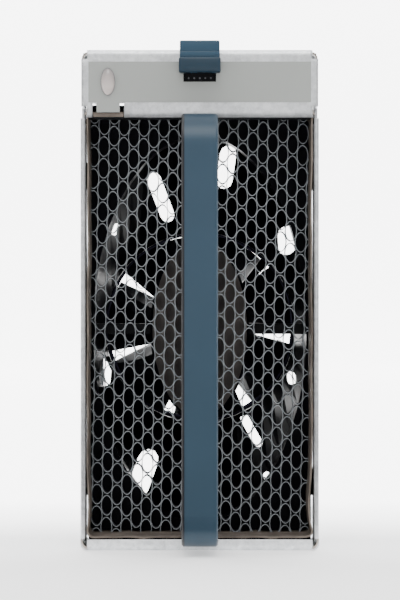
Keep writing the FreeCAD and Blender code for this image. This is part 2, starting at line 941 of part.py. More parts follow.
slider_front = fascia_back + gap
slider_back = front + 8
slider_low = size("latch_low") - 8
slider_high = size("latch_low") + 0.5


def build_latch():
    """A push-down button over the cover's front edge, its dark slider, a leaf spring and a guide."""
    body = new_body("latch_button")
    face = front - size("label_thick") - 0.2
    reach = front - size("latch_reach")
    low = size("latch_low")
    step = size("latch_step")
    high = size("latch_top")

    def lower_block(sketch):
        corners = [(face, low), (reach + 1.0, low), (reach, step - 0.6), (reach + 0.4, step), (face, step)]
        draw_outline(sketch, corners)

    def upper_block(sketch):
        corners = [
            (face, step - 0.5),
            (reach + 1.3, step - 0.5),
            (reach + 1.3, step + 2.0),
            (reach + 1.7, step + 2.3),
            (reach + 1.7, high - 0.7),
            (reach + 2.4, high),
            (face, high),
        ]
        draw_outline(sketch, corners)

    def neck(sketch):
        rear = notch_back - 1
        corners = [
            (face - 0.5, slider_high),
            (rear, slider_high),
            (rear, top - 0.4),
            (front + 3, high),
            (face - 0.5, high),
        ]
        draw_outline(sketch, corners)

    half = size("latch_width") / 2
    add_prism(body, "YZ_Plane", 0 - half, half, lower_block)
    half = size("latch_upper_width") / 2
    add_prism(body, "YZ_Plane", 0 - half, half, upper_block)
    half = size("latch_neck") / 2
    add_prism(body, "YZ_Plane", 0 - half, half, neck)

    slider = new_body("latch_slider")
    half = size("slider_width") / 2

    def plate(sketch):
        draw_rectangle(sketch, 0 - half, half, slider_front + 0.4, slider_back)

    add_prism(slider, "XY_Plane", slider_low, slider_high, plate)

    def ribs(sketch):
        rib = 0.4
        for place_across in range(-2, 3):
            x = place_across * size("slider_width") / 9
            draw_rectangle(sketch, x - rib, x + rib, slider_front, slider_front + 0.6)

    add_prism(slider, "XY_Plane", slider_low + 5.2, slider_high - 1.6, ribs)

    guide = new_body("latch_guide")
    cheek = half + gap

    def channel(sketch):
        corners = [
            (0 - cheek - steel, slider_front + 1),
            (0 - cheek, slider_front + 1),
            (0 - cheek, slider_back + gap),
            (cheek, slider_back + gap),
            (cheek, slider_front + 1),
            (cheek + steel, slider_front + 1),
            (cheek + steel, slider_back + gap + steel),
            (0 - cheek - steel, slider_back + gap + steel),
        ]
        draw_outline(sketch, corners)

    add_prism(guide, "XY_Plane", flange_top, slider_high - size("latch_travel") - gap, channel)

    def foot(sketch):
        inner = size("strap_width") / 2
        outer = cheek + steel
        rear = slider_back + gap + steel
        draw_rectangle(sketch, inner, outer, slider_front + 1, rear)
        draw_rectangle(sketch, 0 - outer, 0 - inner, slider_front + 1, rear)

    add_prism(guide, "XY_Plane", flange_top, flange_top + steel, foot)

    spring = new_body("latch_spring")
    shelf = flange_top + steel
    gauge = size("spring_gauge")

    def arch(sketch):
        foot_in = half - 2.5
        crown = 2.0
        corners = [
            (0 - half + 0.6, shelf),
            (0 - foot_in, shelf),
            (0 - crown, slider_low - gauge),
            (crown, slider_low - gauge),
            (foot_in, shelf),
            (half - 0.6, shelf),
            (half - 0.6, shelf + gauge),
            (foot_in + 0.1, shelf + gauge),
            (crown + 0.1, slider_low),
            (0 - crown - 0.1, slider_low),
            (0 - foot_in - 0.1, shelf + gauge),
            (0 - half + 0.6, shelf + gauge),
        ]
        draw_outline(sketch, corners)

    add_prism(spring, "XZ_Plane", slider_front + 1.6, slider_back - 1.4, arch)


# ---------------------------------------------------------------- duct and centre body

duct_back = size("shroud_front")
collar_front = duct_back - 3
straight_back = duct_face + 13
bore = size("fan_bore")
duct_wall = size("duct_wall")
mouth_wide = size("mouth_half_wide")
mouth_high = size("mouth_half_high")
ear_reach = size("ear_circle") + 1.9


def ear_places():
    """Where the fan's four screws go: pairs of sides, above and below its middle."""
    angle = math.radians(number(size("ear_angle")))
    circle = size("ear_circle")
    return [
        (side * math.cos(angle) * circle, axis_height + up * math.sin(angle) * circle)
        for side in (-1, 1)
        for up in (-1, 1)
    ]


# Sides of the ovals and of each round end of a port.
OVAL_SIDES = 40
SHROUD_SIDES = 52
HUB_SIDES = 28
TUBE_SIDES = 16
PORT_STEPS = 5

# Relief ports in the duct's sloping walls, placed from the fan's axis and leaning clockwise, in degrees.
PORTS = [
    {"right": -15.4, "above": 51.5, "width": 5.5, "length": 19.6, "tilt": -21},
    {"right": 10.3, "above": 62.7, "width": 6.3, "length": 16.0, "tilt": 8},
    {"right": 33.9, "above": 34.2, "width": 6.0, "length": 11.0, "tilt": -5},
    {"right": 20.5, "above": -40.9, "width": 3.4, "length": 13.4, "tilt": -30},
    {"right": -22.0, "above": -56.5, "width": 8.0, "length": 18.0, "tilt": 20},
    {"right": 26.4, "above": -57.7, "width": 3.1, "length": 5.0, "tilt": -20},
    {"right": -37.2, "above": -17.2, "width": 3.4, "length": 11.5, "tilt": 0},
    {"right": 36.4, "above": -20.0, "width": 3.0, "length": 5.0, "tilt": 0},
    {"right": -32.9, "above": 38.5, "width": 1.8, "length": 5.0, "tilt": 20},
]


def make_port(right, above, width, length, tilt):
    """A round-ended slot that runs along Y."""
    reach = length / 2 - width / 2
    points = []
    for end in (1, -1):
        for index in range(PORT_STEPS + 1):
            angle = math.pi * index / PORT_STEPS
            spoke = Vector(math.cos(angle) * width / 2, 0, reach + math.sin(angle) * width / 2)
            points.append(spoke * end)
    slot_front = number(straight_back) - 2
    slot = flat_face(points).extrude(Vector(0, number(collar_front) + 1 - slot_front, 0))
    slot.rotate(Vector(), Vector(0, 1, 0), tilt)
    slot.translate(Vector(right, slot_front, above))
    return slot


def build_duct():
    """The inlet moulding: a flange, an oval mouth and walls that turn round towards the fan."""
    half = size("duct_width") / 2
    flange_back_face = duct_face + 3
    wide = mouth_wide + duct_wall
    high = mouth_high + duct_wall
    round_outer = bore + duct_wall
    low = steel + gap - axis_height
    outer = plain_box(0 - half, half, duct_face, flange_back_face, low, size("duct_top") - axis_height)
    stations = [(duct_face + 1, wide, high), (straight_back, wide, high)]
    stations += [(collar_front, round_outer, round_outer), (duct_back, round_outer, round_outer)]
    outer = outer.fuse(join_ovals(stations, OVAL_SIDES))
    stations = [(duct_face - 1, mouth_wide, mouth_high), (straight_back, mouth_wide, mouth_high)]
    stations += [(collar_front, bore, bore), (duct_back + 1, bore, bore)]
    inner = join_ovals(stations, OVAL_SIDES)
    ear = number(ear_reach - size("ear_circle"))
    screw = number(rivet_radius) - 0.3
    for x, z in ear_places():
        start = Vector(number(x), number(collar_front) - 3, number(z - axis_height))
        outer = outer.fuse(faceted_rod(start, Vector(0, number(duct_back) - start.y, 0), ear, 12))
        start.y = number(collar_front) - 1
        inner = inner.fuse(faceted_rod(start, Vector(0, 10, 0), screw, 6))
    for side in (-1, 1):
        for height in duct_screw_heights:
            z = height - axis_height
            near, far = sorted((side * (half - 3), side * (wall_inside - 0.1)), key=number)
            outer = outer.fuse(plain_box(near, far, duct_face, duct_face + 10, z - 5, z + 5))
            start = Vector(side * (number(wall_inside) - 5.5), number(duct_screw_depth), number(z))
            inner = inner.fuse(faceted_rod(start, Vector(side * 7, 0, 0), number(rivet_radius) + 0.05, 6))
    for port in PORTS:
        inner = inner.fuse(make_port(**port))
    keep_about_axis("inlet_duct", outer.cut(inner))


def build_side_fasteners(label, heights, depths, length):
    """Low-headed fasteners through both side walls."""
    items = []
    for side in (-1, 1):
        for y, z in zip(depths, heights):
            turn = Rotation(Vector(0, 1, 0), -90 * side)
            shank = make_prism("side_shank", 6, rivet_radius, length, turn)
            head = make_prism("side_head", HEAD_SIDES, rivet_radius + 0.9, 0.35, turn)
            place(shank, side * half_width, y, z)
            place(head, side * (half_width + 0.35), y, z)
            items.append(fuse("side_fastener", [shank, head]))
    group(label, items)


def build_centre_body():
    """The oval fairing ahead of the hub, held by four struts that meet the duct's wall."""
    wide = size("body_half_wide")
    high = size("body_half_high")
    hub = size("hub_radius") - 0.3
    nose = duct_face + 3
    edge = 0.8
    stations = [(nose, wide - edge, high - edge), (nose + edge, wide, high), (straight_back, wide, high)]
    stations.append((duct_back + 0.5, hub, hub))
    fairing = join_ovals(stations, OVAL_SIDES)
    strut = size("strut_width") / 2
    upright = plain_box(0 - strut, strut, nose + 1, straight_back, 0 - mouth_high, mouth_high)
    level = plain_box(0 - mouth_wide, mouth_wide, nose + 1, straight_back, 0 - strut, strut)
    limit = join_ovals([(y, mouth_wide - 0.05, mouth_high - 0.05) for y in (nose, straight_back)], OVAL_SIDES)
    keep_about_axis("centre_body", fairing.fuse(upright.fuse(level).common(limit)))
    label = join_ovals([(y, wide - edge - 0.1, high - edge - 0.1) for y in (nose - 0.2, nose)], OVAL_SIDES)
    keep_about_axis("hub_label", label)


# ---------------------------------------------------------------- fan

shroud_back = duct_back + size("shroud_length")
shroud_outer = bore + duct_wall
hub_front = duct_back + 2
hub_back = hub_front + 25
hub_skin = 1.5
base_front = shroud_back - 8
base_back = shroud_back - 4
bearing_out = size("bearing_radius")
tube_front = hub_front + 8
tube_outer = bearing_out + 1.2
tube_end = base_back - 1.2
shaft_front = hub_front + hub_skin
shaft_back = base_front + 1.2
magnet_outer = size("hub_radius") - hub_skin - 0.1
magnet_inner = magnet_outer - 1.6


def build_shroud():
    """The fan's round tube with four ears, and a motor base on four struts at its rear."""
    body = new_body("fan_shroud")

    def ring(sketch):
        draw_round_of_sides(sketch, shroud_outer, SHROUD_SIDES, zero, axis_height)

    add_prism(body, "XZ_Plane", duct_back, shroud_back, ring)

    def ears(sketch):
        for x, z in ear_places():
            draw_round_of_sides(sketch, ear_reach - size("ear_circle"), HEAD_SIDES, x, z)

    add_prism(body, "XZ_Plane", duct_back, duct_back + 4, ears)

    def hollow(sketch):
        draw_round_of_sides(sketch, bore, SHROUD_SIDES, zero, axis_height)

    add_prism(body, "XZ_Plane", duct_back - 1, shroud_back + 1, hollow, cut=True)

    def ear_holes(sketch):
        for x, z in ear_places():
            draw_round_of_sides(sketch, rivet_radius + 0.1, HEAD_SIDES, x, z)

    add_prism(body, "XZ_Plane", duct_back - 1, duct_back + 5, ear_holes, cut=True)

    def strut(sketch, lean):
        reach = bore + duct_wall / 2
        half = size("strut_width") / 2
        slope = math.sqrt(0.5)
        corners = []
        for along, across in ((-1, -1), (1, -1), (1, 1), (-1, 1)):
            x = lean * slope * (along * reach - across * half)
            z = axis_height + slope * (along * reach + across * half)
            corners.append((x, z))
        draw_outline(sketch, corners)

    for lean in (-1, 1):
        add_prism(body, "XZ_Plane", base_front, shroud_back - 1, lambda sketch: strut(sketch, lean))

    def base(sketch):
        draw_round_of_sides(sketch, size("hub_radius") - 0.5, HUB_SIDES, zero, axis_height)

    add_prism(body, "XZ_Plane", base_front, shroud_back - 1, base)

    def tube(sketch):
        draw_round_of_sides(sketch, tube_outer, TUBE_SIDES, zero, axis_height)

    add_prism(body, "XZ_Plane", tube_front, base_back, tube)

    def tube_bore(sketch):
        draw_circle(sketch, zero, axis_height, bearing_out + 0.03)

    add_prism(body, "XZ_Plane", tube_front - 1, tube_end, tube_bore, cut=True)
    screws = []
    for x, z in ear_places():
        start = collar_front + 0.5
        seat = duct_back + 4
        shank = make_prism("shroud_shank", 6, rivet_radius - 0.35, seat - start, ALONG_Y)
        place(shank, x, start, z)
        head = make_prism("shroud_head", HEAD_SIDES, rivet_radius + 0.4, 1.4, ALONG_Y)
        place(head, x, seat, z)
        screws.append(fuse("shroud_screw", [shank, head]))
    group("shroud_screws", screws)


def blade_section(distance, spread, lead, trail, camber, thick):
    """A thin bowed section on the plane at a distance from the axis, from leading to trailing edge."""
    start = Vector(-spread, lead, distance)
    chord = Vector(2 * spread, trail - lead, 0)
    normal = Vector(chord.y, -chord.x, 0).normalize()
    outer = []
    inner = []
    for index in range(1, BLADE_STEPS):
        along = index / BLADE_STEPS
        bow = 4 * along * (1 - along)
        outer.append(start + chord * along + normal * bow * (camber + thick / 2))
        inner.append(start + chord * along + normal * bow * (camber - thick / 2))
    return [start] + outer + [start + chord] + inner[::-1]


def build_impeller():
    """A cup-shaped hub with twisted, bowed blades that end just inside the bore."""
    hub = size("hub_radius")
    tip = number(bore - size("tip_gap"))
    lead = number(hub_front) + 1.0
    trail = number(hub_back) - 1.0
    count = int(number(size("blade_count")))
    inside = hub - hub_skin
    boss = number(size("shaft_radius")) + 2.2
    crown = 1.5
    y = Vector(0, 1, 0)
    stations = [(hub_front, hub - crown, hub - crown), (hub_front + crown, hub, hub), (hub_back, hub, hub)]
    root = number(hub) * 0.82
    root_spread = math.pi * number(hub) / count * 0.97
    tip_spread = math.pi * tip / count * 0.93
    limit = Part.makeCylinder(tip, trail - lead + 10, Vector(0, lead - 5, 0), y)
    sections = []
    for out in (0.0, 0.5, 1.0):
        distance = root + (tip + 1.5 - root) * out
        spread = root_spread + (tip_spread - root_spread) * out
        section_lead = lead + 2.5 * out
        section_trail = trail - 1.5 * out
        camber = 2.6 + 0.4 * out
        thick = 1.5 - 0.3 * out
        sections.append(blade_section(distance, spread, section_lead, section_trail, camber, thick))
    blade = skin_over(sections).common(limit)
    blades = []
    for index in range(count):
        turned = blade.copy()
        turned.rotate(Vector(), y, 360 / count * index + IMPELLER_REST)
        blades.append(turned)
    shape = join_ovals(stations, HUB_SIDES).fuse(blades)
    hollow = [(hub_front + hub_skin, inside, inside), (hub_back + 1, inside, inside)]
    shape = shape.cut(join_ovals(hollow, HUB_SIDES))
    floor = Vector(0, number(hub_front) + hub_skin / 2, 0)
    shape = shape.fuse(faceted_rod(floor, y * (5 + hub_skin / 2), boss, 12))
    socket_floor = Vector(0, number(shaft_front), 0)
    shape = shape.cut(Part.makeCylinder(number(size("shaft_radius")) + 0.02, 6, socket_floor, y))
    keep_about_axis("impeller", shape)


# Steps along a blade's section, and the impeller's turn at rest in degrees.
BLADE_STEPS = 4
IMPELLER_REST = 20.0


def ring_about_axis(label, inner, outer, start, length, sides, round_bore):
    """A plain ring about the fan's axis."""
    body = new_body(label)

    def ring(sketch):
        draw_round_of_sides(sketch, outer, sides, zero, axis_height)
        if round_bore:
            draw_circle(sketch, zero, axis_height, inner)
        else:
            draw_round_of_sides(sketch, inner, sides, zero, axis_height)

    add_prism(body, "XZ_Plane", start, start + length, ring)


def build_motor():
    """Magnet, shaft, clip, two bearings, a four-pole core with its coils, and the driver board."""
    ring_about_axis("rotor_magnet", magnet_inner, magnet_outer, hub_front + 6, Size(17.0, "17"), HUB_SIDES, False)
    shaft = size("shaft_radius")
    keep(make_rod("motor_shaft", shaft, shaft_front, shaft_back, zero, axis_height), "motor_shaft")
    bearing_bore = shaft + size("running_gap")
    length = size("bearing_length")
    front_start = tube_front + 0.5
    ring_about_axis("front_bearing", bearing_bore, bearing_out, front_start, length, TUBE_SIDES, True)
    rear_start = base_front - 1.6 - length
    ring_about_axis("rear_bearing", bearing_bore, bearing_out, rear_start, length, TUBE_SIDES, True)
    clip_start = rear_start + length + 0.3
    ring_about_axis("shaft_clip", shaft + 0.05, shaft + 1.1, clip_start, Size(0.6, "0.6"), 10, True)
    core_front_y = hub_front + 9
    core_back_y = hub_back - 5
    core = new_body("stator_core")
    pole = 2.6
    yoke = tube_outer + 3
    shoe = magnet_inner - 0.8

    def poles(sketch):
        shoe_half = 5.5
        root = 2.2
        corners = []
        for along, across in ((1, 0), (0, 1), (-1, 0), (0, -1)):
            side_x, side_z = -across, along
            for radius, half in (
                (yoke, -pole),
                (shoe - root, -pole),
                (shoe - root, -shoe_half),
                (shoe - 1.2, -shoe_half),
                (shoe, -pole),
                (shoe, pole),
                (shoe - 1.2, shoe_half),
                (shoe - root, shoe_half),
                (shoe - root, pole),
                (yoke, pole),
            ):
                x = along * radius + half * side_x
                z = axis_height + across * radius + half * side_z
                corners.append((x, z))
        draw_outline(sketch, corners)
        draw_round_of_sides(sketch, tube_outer + 0.12, TUBE_SIDES, zero, axis_height)

    add_prism(core, "XZ_Plane", core_front_y, core_back_y, poles)
    coils = []
    coil_in = yoke + 0.1
    coil_out = shoe - 2.3
    for along, across in ((1, 0), (0, 1), (-1, 0), (0, -1)):
        spans = []
        for half, proud in ((pole + 1.5, 1.5), (pole + 0.1, 0.1)):
            middle = (zero - half, zero + half)
            reach = sorted((along * coil_in, along * coil_out), key=number) if along else middle
            rise = sorted((across * coil_in, across * coil_out), key=number) if across else middle
            margin = 1.0 if half < pole + 1 else 0.0
            if along:
                left, right = reach[0] - margin, reach[1] + margin
                low, high = rise
            else:
                left, right = reach
                low, high = rise[0] - margin, rise[1] + margin
            near = core_front_y - proud
            far = core_back_y + proud
            spans.append(make_box("coil_box", left, right, near, far, axis_height + low, axis_height + high))
        coils.append(cut_away("coil", spans[0], spans[1]))
    group("stator_coils", coils)
    board = new_body("driver_board")

    def octagon(sketch):
        draw_round_of_sides(sketch, size("hub_radius") - 4, 8, zero, axis_height)
        draw_round_of_sides(sketch, tube_outer + 0.6, 8, zero, axis_height)

    add_prism(board, "XZ_Plane", base_front - 1.2, base_front, octagon)


# ---------------------------------------------------------------- rear

panel_back = back - size("panel_inset")
panel_front = panel_back - steel
panel_half = wall_inside - 0.1
bracket_back = panel_front - 0.1
connector_height = top - 15
guide_left = 1.4 - wall_inside
pin_x = guide_left + 5
pin_z = steel + 4.5


def build_rear():
    """A panel round the outlet, the connector on its bracket and the block for the guide pin."""
    body = new_body("rear_panel")
    rim = size("panel_rim")

    def plate(sketch):
        high = wall_top - size("skirt_depth") - 1
        turn = size("bend_radius") - steel + 0.3
        draw_outline(
            sketch,
            [
                (0 - panel_half, high),
                (0 - panel_half, steel, turn),
                (panel_half, steel, turn),
                (panel_half, high),
            ],
        )

    add_prism(body, "XZ_Plane", panel_front, panel_back, plate)

    def window(sketch):
        high = wall_top - size("skirt_depth") - 15
        draw_rectangle(sketch, rim - panel_half, panel_half - rim, rim + 2, high, rim)

    add_prism(body, "XZ_Plane", panel_front - 1, panel_back + 1, window, cut=True)

    def connector_notch(sketch):
        draw_rectangle(sketch, zero - 15, zero + 15, connector_height - 7.4, wall_top)

    add_prism(body, "XZ_Plane", panel_front - 1, panel_back + 1, connector_notch, cut=True)

    def outlet(sketch):
        draw_round_of_sides(sketch, bore + 2.9, SHROUD_SIDES, zero, axis_height)

    add_prism(body, "XZ_Plane", panel_front, panel_back, outlet)

    def openings(sketch):
        draw_round_of_sides(sketch, bore + 1.1, SHROUD_SIDES, zero, axis_height)

    add_prism(body, "XZ_Plane", panel_front - 1, panel_back + 1, openings, cut=True)

    def guide_notch(sketch):
        draw_rectangle(sketch, 0 - panel_half - 1, pin_x + 6, steel - 1, pin_z + 6)

    add_prism(body, "XZ_Plane", panel_front - 1, panel_back + 1, guide_notch, cut=True)

    def side_tabs(sketch):
        draw_rectangle(sketch, panel_front - 8, panel_front + steel / 2, axis_height - 12, axis_height + 12)

    add_prism(body, "YZ_Plane", panel_half - steel, panel_half, side_tabs)
    add_prism(body, "YZ_Plane", 0 - panel_half, steel - panel_half, side_tabs)

    bracket = new_body("connector_bracket")

    def angle(sketch):
        corners = [
            (bracket_back, wall_top - 0.1),
            (bracket_back, connector_height - 8),
            (bracket_back - 1.2, connector_height - 8),
            (bracket_back - 1.2, wall_top - 1.3),
            (bracket_back - 14, wall_top - 1.3),
            (bracket_back - 14, wall_top - 0.1),
        ]
        draw_outline(sketch, corners)

    add_prism(bracket, "YZ_Plane", zero - 18, zero + 18, angle)

    def connector_hole(sketch):
        draw_rectangle(sketch, zero - 12.2, zero + 12.2, connector_height - 4.7, connector_height + 3.2)

    add_prism(bracket, "XZ_Plane", bracket_back - 3, bracket_back + 1, connector_hole, cut=True)

    housing = new_body("connector_housing")

    def shell(sketch):
        draw_rectangle(sketch, zero - 12, zero + 12, connector_height - 4.5, connector_height + 3)

    add_prism(housing, "XZ_Plane", panel_back - 8, back - 0.5, shell)

    def flange(sketch):
        draw_rectangle(sketch, zero - 14, zero + 14, connector_height - 6, connector_height + 4.5)

    add_prism(housing, "XZ_Plane", bracket_back, bracket_back + 1.6, flange)

    def socket(sketch):
        draw_rectangle(sketch, zero - 11, zero + 11, connector_height - 3.5, connector_height + 2)

    add_prism(housing, "XZ_Plane", panel_back - 5, back + 1, socket, cut=True)
    contacts = []
    for index in range(8):
        x = zero - 8.75 + 2.5 * index
        low = connector_height - 3.2
        contacts.append(make_box("contact", x - 0.4, x + 0.4, panel_back - 5, back - 1.5, low, low + 0.8))
    group("connector_contacts", contacts)
    block_front = bracket_back - size("pin_length")
    base = make_box("guide_body", guide_left, guide_left + 10, block_front, bracket_back, steel, steel + 9)
    hole = make_rod("guide_hole", size("pin_bore"), block_front - 1, back + 1, pin_x, pin_z)
    keep(cut_away("guide_block", base, hole), "guide_block")


# ---------------------------------------------------------------- assembly

build_tray()
build_cover()
build_side_fasteners("cover_rivets", [cover_rivet_height] * 2, cover_rivet_places, 3.2)
build_label()
build_light()
build_honeycomb_core()
build_honeycomb_frame()
build_handle()
build_latch()
build_duct()
build_side_fasteners("duct_screws", duct_screw_heights, [duct_screw_depth] * 2, 6.0)
build_centre_body()
build_shroud()
build_impeller()
build_motor()
build_rear()

doc.recompute()

for item in doc.Objects:
    if "Invalid" in item.State or "Error" in item.State:
        raise RuntimeError(f"{item.Name} ({item.Label}) failed: {item.State}")
for pocket in CUTS:
    removed = pocket.BaseFeature.Shape.Volume - pocket.Shape.Volume
    if removed < 1e-3:
        raise RuntimeError(f"{pocket.Name} removes nothing")
for node in NODES:
    if node.Shape.isNull() or not node.Shape.isValid():
        raise RuntimeError(f"{node.Label} has no sound shape")

os.makedirs("parts", exist_ok=True)
for node in NODES:
    node.Shape.exportStep(f"parts/{node.Label}.step")
print(f"{len(NODES)} sub-parts written")
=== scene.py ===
# %% [markdown]
# # A fan module for a server
# The real object is a sheet-steel cartridge that slides into a rack. Air goes in through a metal honeycomb,
# along an oval duct and out through a round fan. A blue strap pulls the module out, and a blue button lets
# go of its catch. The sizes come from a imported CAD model, so a piece is placed by asking that model where
# its neighbours are. Only the curled corners of the sheet have places of their own.

# %% Load the CAD frame
import math

import bmesh
import bpy
from mathutils import Matrix, Vector


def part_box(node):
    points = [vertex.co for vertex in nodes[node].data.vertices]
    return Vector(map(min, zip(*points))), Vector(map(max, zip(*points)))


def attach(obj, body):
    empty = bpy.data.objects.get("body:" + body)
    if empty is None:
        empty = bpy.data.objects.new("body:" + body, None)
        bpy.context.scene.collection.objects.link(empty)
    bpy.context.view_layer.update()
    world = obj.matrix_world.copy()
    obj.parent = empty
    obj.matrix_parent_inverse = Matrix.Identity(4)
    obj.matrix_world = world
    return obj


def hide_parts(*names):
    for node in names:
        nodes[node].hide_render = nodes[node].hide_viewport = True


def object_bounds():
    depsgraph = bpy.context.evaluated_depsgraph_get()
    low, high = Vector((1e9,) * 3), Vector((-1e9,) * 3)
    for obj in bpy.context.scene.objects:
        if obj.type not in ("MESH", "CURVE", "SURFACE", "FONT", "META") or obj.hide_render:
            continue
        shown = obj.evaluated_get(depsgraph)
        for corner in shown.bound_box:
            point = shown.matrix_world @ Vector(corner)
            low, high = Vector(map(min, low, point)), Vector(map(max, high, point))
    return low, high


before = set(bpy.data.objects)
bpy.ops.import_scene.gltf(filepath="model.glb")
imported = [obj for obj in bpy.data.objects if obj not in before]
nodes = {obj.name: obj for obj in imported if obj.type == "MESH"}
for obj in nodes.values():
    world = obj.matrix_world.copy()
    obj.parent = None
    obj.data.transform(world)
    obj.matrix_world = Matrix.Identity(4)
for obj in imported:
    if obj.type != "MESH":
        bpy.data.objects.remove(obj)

cad_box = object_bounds()
MM = 0.001

# %% [markdown]
# ## Arithmetic on shader sockets
# A procedural material is a sum of small steps: a noise times a strength, one minus a mask. Wiring each
# step by hand hides the sum. A small class that wraps an output socket lets Python's own + - * / add the
# Math nodes, so that a finish reads as the formula that it is. Every other node comes from one method,
# `add`.


# %% A material built from expressions
class Signal:
    """One output of a node in a finish. Arithmetic on it adds Math nodes."""

    def __init__(self, finish, socket):
        self.finish = finish
        self.socket = socket

    def math(self, operation, first, second):
        return self.finish.add("ShaderNodeMath", {"operation": operation}, {0: first, 1: second})

    def __add__(self, other):
        return self.math("ADD", self, other)

    def __sub__(self, other):
        return self.math("SUBTRACT", self, other)

    def __rsub__(self, other):
        return self.math("SUBTRACT", other, self)

    def __mul__(self, other):
        return self.math("MULTIPLY", self, other)

    def __truediv__(self, other):
        return self.math("DIVIDE", self, other)

    def __rtruediv__(self, other):
        return self.math("DIVIDE", other, self)

    def __gt__(self, other):
        return self.math("GREATER_THAN", self, other)

    def __lt__(self, other):
        return self.math("LESS_THAN", self, other)

    __radd__ = __add__
    __rmul__ = __mul__


class Finish:
    """A procedural material round one Principled shader, which reads Object coordinates."""

    def __init__(self, name, **fixed):
        self.material = bpy.data.materials.new(name)
        self.material.use_nodes = True
        self.tree = self.material.node_tree
        self.shader = self.tree.nodes["Principled BSDF"]
        self.place = self.add("ShaderNodeTexCoord", output="Object")
        for socket, value in fixed.items():
            self.shader.inputs[socket.replace("_", " ")].default_value = value

    def add(self, kind, settings=None, inputs=None, output=0):
        """Adds a node: its settings first, then the values or links of its sockets."""
        node = self.tree.nodes.new(kind)
        for name, value in (settings or {}).items():
            setattr(node, name, value)
        for name, value in (inputs or {}).items():
            if isinstance(value, Signal):
                self.tree.links.new(value.socket, node.inputs[name])
            else:
                node.inputs[name].default_value = value
        return Signal(self, node.outputs[output])

    def noise(self, size, detail=3.0, roughness=0.5, stretch=(1, 1, 1)):
        """Smooth noise from 0 to 1 whose lumps are about size metres across."""
        sockets = {"Vector": self.place, "Scale": stretch}
        where = self.add("ShaderNodeMapping", {"vector_type": "POINT"}, sockets)
        sockets = {"Vector": where, "Scale": 1 / size, "Detail": detail, "Roughness": roughness}
        return self.add("ShaderNodeTexNoise", {}, sockets)

    def mix(self, factor, low, high):
        """A colour between two, by a factor from 0 to 1."""
        node_inputs = {0: factor, 6: low, 7: high}
        return self.add("ShaderNodeMix", {"data_type": "RGBA", "clamp_factor": True}, node_inputs, output=2)

    def set(self, socket, signal):
        """Feeds a signal to one of the shader's sockets."""
        self.tree.links.new(signal.socket, self.shader.inputs[socket])

    def along(self, axis):
        """The point's own X, Y or Z, in metres."""
        return self.add("ShaderNodeSeparateXYZ", {}, {"Vector": self.place}, output=axis)

    def within(self, axis, low, high):
        """One between two values of an axis, and nothing outside them."""
        value = self.along(axis)
        return (value > low) * (value < high)

    def bump(self, height, distance, edge=0.0):
        """Raises the surface by height times distance, in metres. Edge is how far round its edges soften."""
        inputs = {"Height": height, "Distance": distance}
        if edge:
            inputs["Normal"] = self.add("ShaderNodeBevel", {"samples": 4}, {"Radius": edge})
        self.set("Normal", self.add("ShaderNodeBump", {}, inputs))


def grey(value, warm=0.0):
    """A neutral colour, or a slightly warm one."""
    return (value * (1 + warm), value, value * (1 - warm), 1.0)


# %% [markdown]
# ## Galvanised sheet
# Hot-dipped zinc freezes in crystals a few millimetres wide, under a frost of fine speckles and broad
# clouds. A Voronoi texture gives flat-coloured cells like the crystals, and two noises give the frost and
# the clouds. They only nudge the brightness and the roughness, because on such sheet the spangle is faint.
# A bend in sheet is never sharp, so a Bevel node rounds the shading of each edge before the frost is raised
# on it. Light hardly reaches the narrow gap beside the honeycomb and the underside of the front flange, so
# the zinc there gets painted shade: a dark colour, and more roughness.

# %% Where the sheet gets painted shade
GAP_INNER = 42.0 * MM
GAP_OUTER = 43.3 * MM
# Painted shade: the dark colour that the zinc gets beside the core and under the front flange.
PAINTED_SHADE_ZINC = (0.045, 0.050, 0.056, 1)
gap_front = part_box("honeycomb_core")[0].y - 0.5 * MM
gap_back = gap_front + 12 * MM
gap_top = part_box("honeycomb_core")[1].z
flange_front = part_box("top_cover")[0].y + 1.2 * MM
flange_back = flange_front + 10 * MM
flange_low = gap_top - 3.5 * MM
flange_top = gap_top + 0.3 * MM
print(f"the gap beside the core is {(GAP_OUTER - GAP_INNER) / MM:.1f} mm wide")


# %% Metal finishes
CRYSTALS_PER_METRE = 520.0


def galvanised(name, brightness, bend):
    """Zinc-coated sheet. Bend is how far round a folded edge the shading is soft, in metres."""
    finish = Finish(name, Metallic=0.9)
    sockets = {"Vector": finish.place, "Scale": CRYSTALS_PER_METRE}
    cells = finish.add("ShaderNodeTexVoronoi", {}, sockets, output="Color")
    crystal = finish.add("ShaderNodeSeparateColor", {}, {"Color": cells})
    frost = finish.noise(0.0020, detail=5.0, roughness=0.65)
    clouds = finish.noise(0.014, detail=3.0)
    light = frost * 1.3 + clouds * 0.9 + crystal * 0.25 - 0.725
    dark = tuple(brightness * channel for channel in (0.66, 0.68, 0.70)) + (1.0,)
    pale = tuple(brightness * channel for channel in (1.20, 1.22, 1.24)) + (1.0,)
    # Painted shade: a mask of the gap beside the core and of the flange's underside, where the zinc turns
    # dark and rougher.
    painted_shade_mask = finish.within("Y", gap_front, gap_back) * finish.within("Z", 0.0, gap_top)
    walls = finish.within("X", -GAP_OUTER, GAP_OUTER) - finish.within("X", -GAP_INNER, GAP_INNER)
    under = finish.within("Y", flange_front, flange_back) * finish.within("Z", flange_low, flange_top)
    painted_shade_mask = painted_shade_mask * walls + under * finish.within("X", -GAP_OUTER, GAP_OUTER)
    sheet = finish.mix(light, dark, pale)
    finish.set("Base Color", finish.mix(painted_shade_mask, sheet, PAINTED_SHADE_ZINC))
    finish.set("Roughness", 0.24 + crystal * 0.06 + clouds * 0.16 + painted_shade_mask * 0.25)
    finish.bump(frost + crystal * 0.4, 0.00004, edge=bend)
    return finish.material


def foil(name, colour, dirt, roughness, metallic=0.8):
    """Thin dull metal with darker stains."""
    finish = Finish(name, Metallic=metallic)
    stains = finish.noise(0.006, detail=4.0)
    scratches = finish.noise(0.0012, stretch=(1, 0.2, 1))
    finish.set("Base Color", finish.mix(stains * 2.0 - 0.5, colour, dirt))
    finish.set("Roughness", roughness + scratches * 0.18)
    finish.bump(scratches, 0.00003, edge=0.0002)
    return finish.material


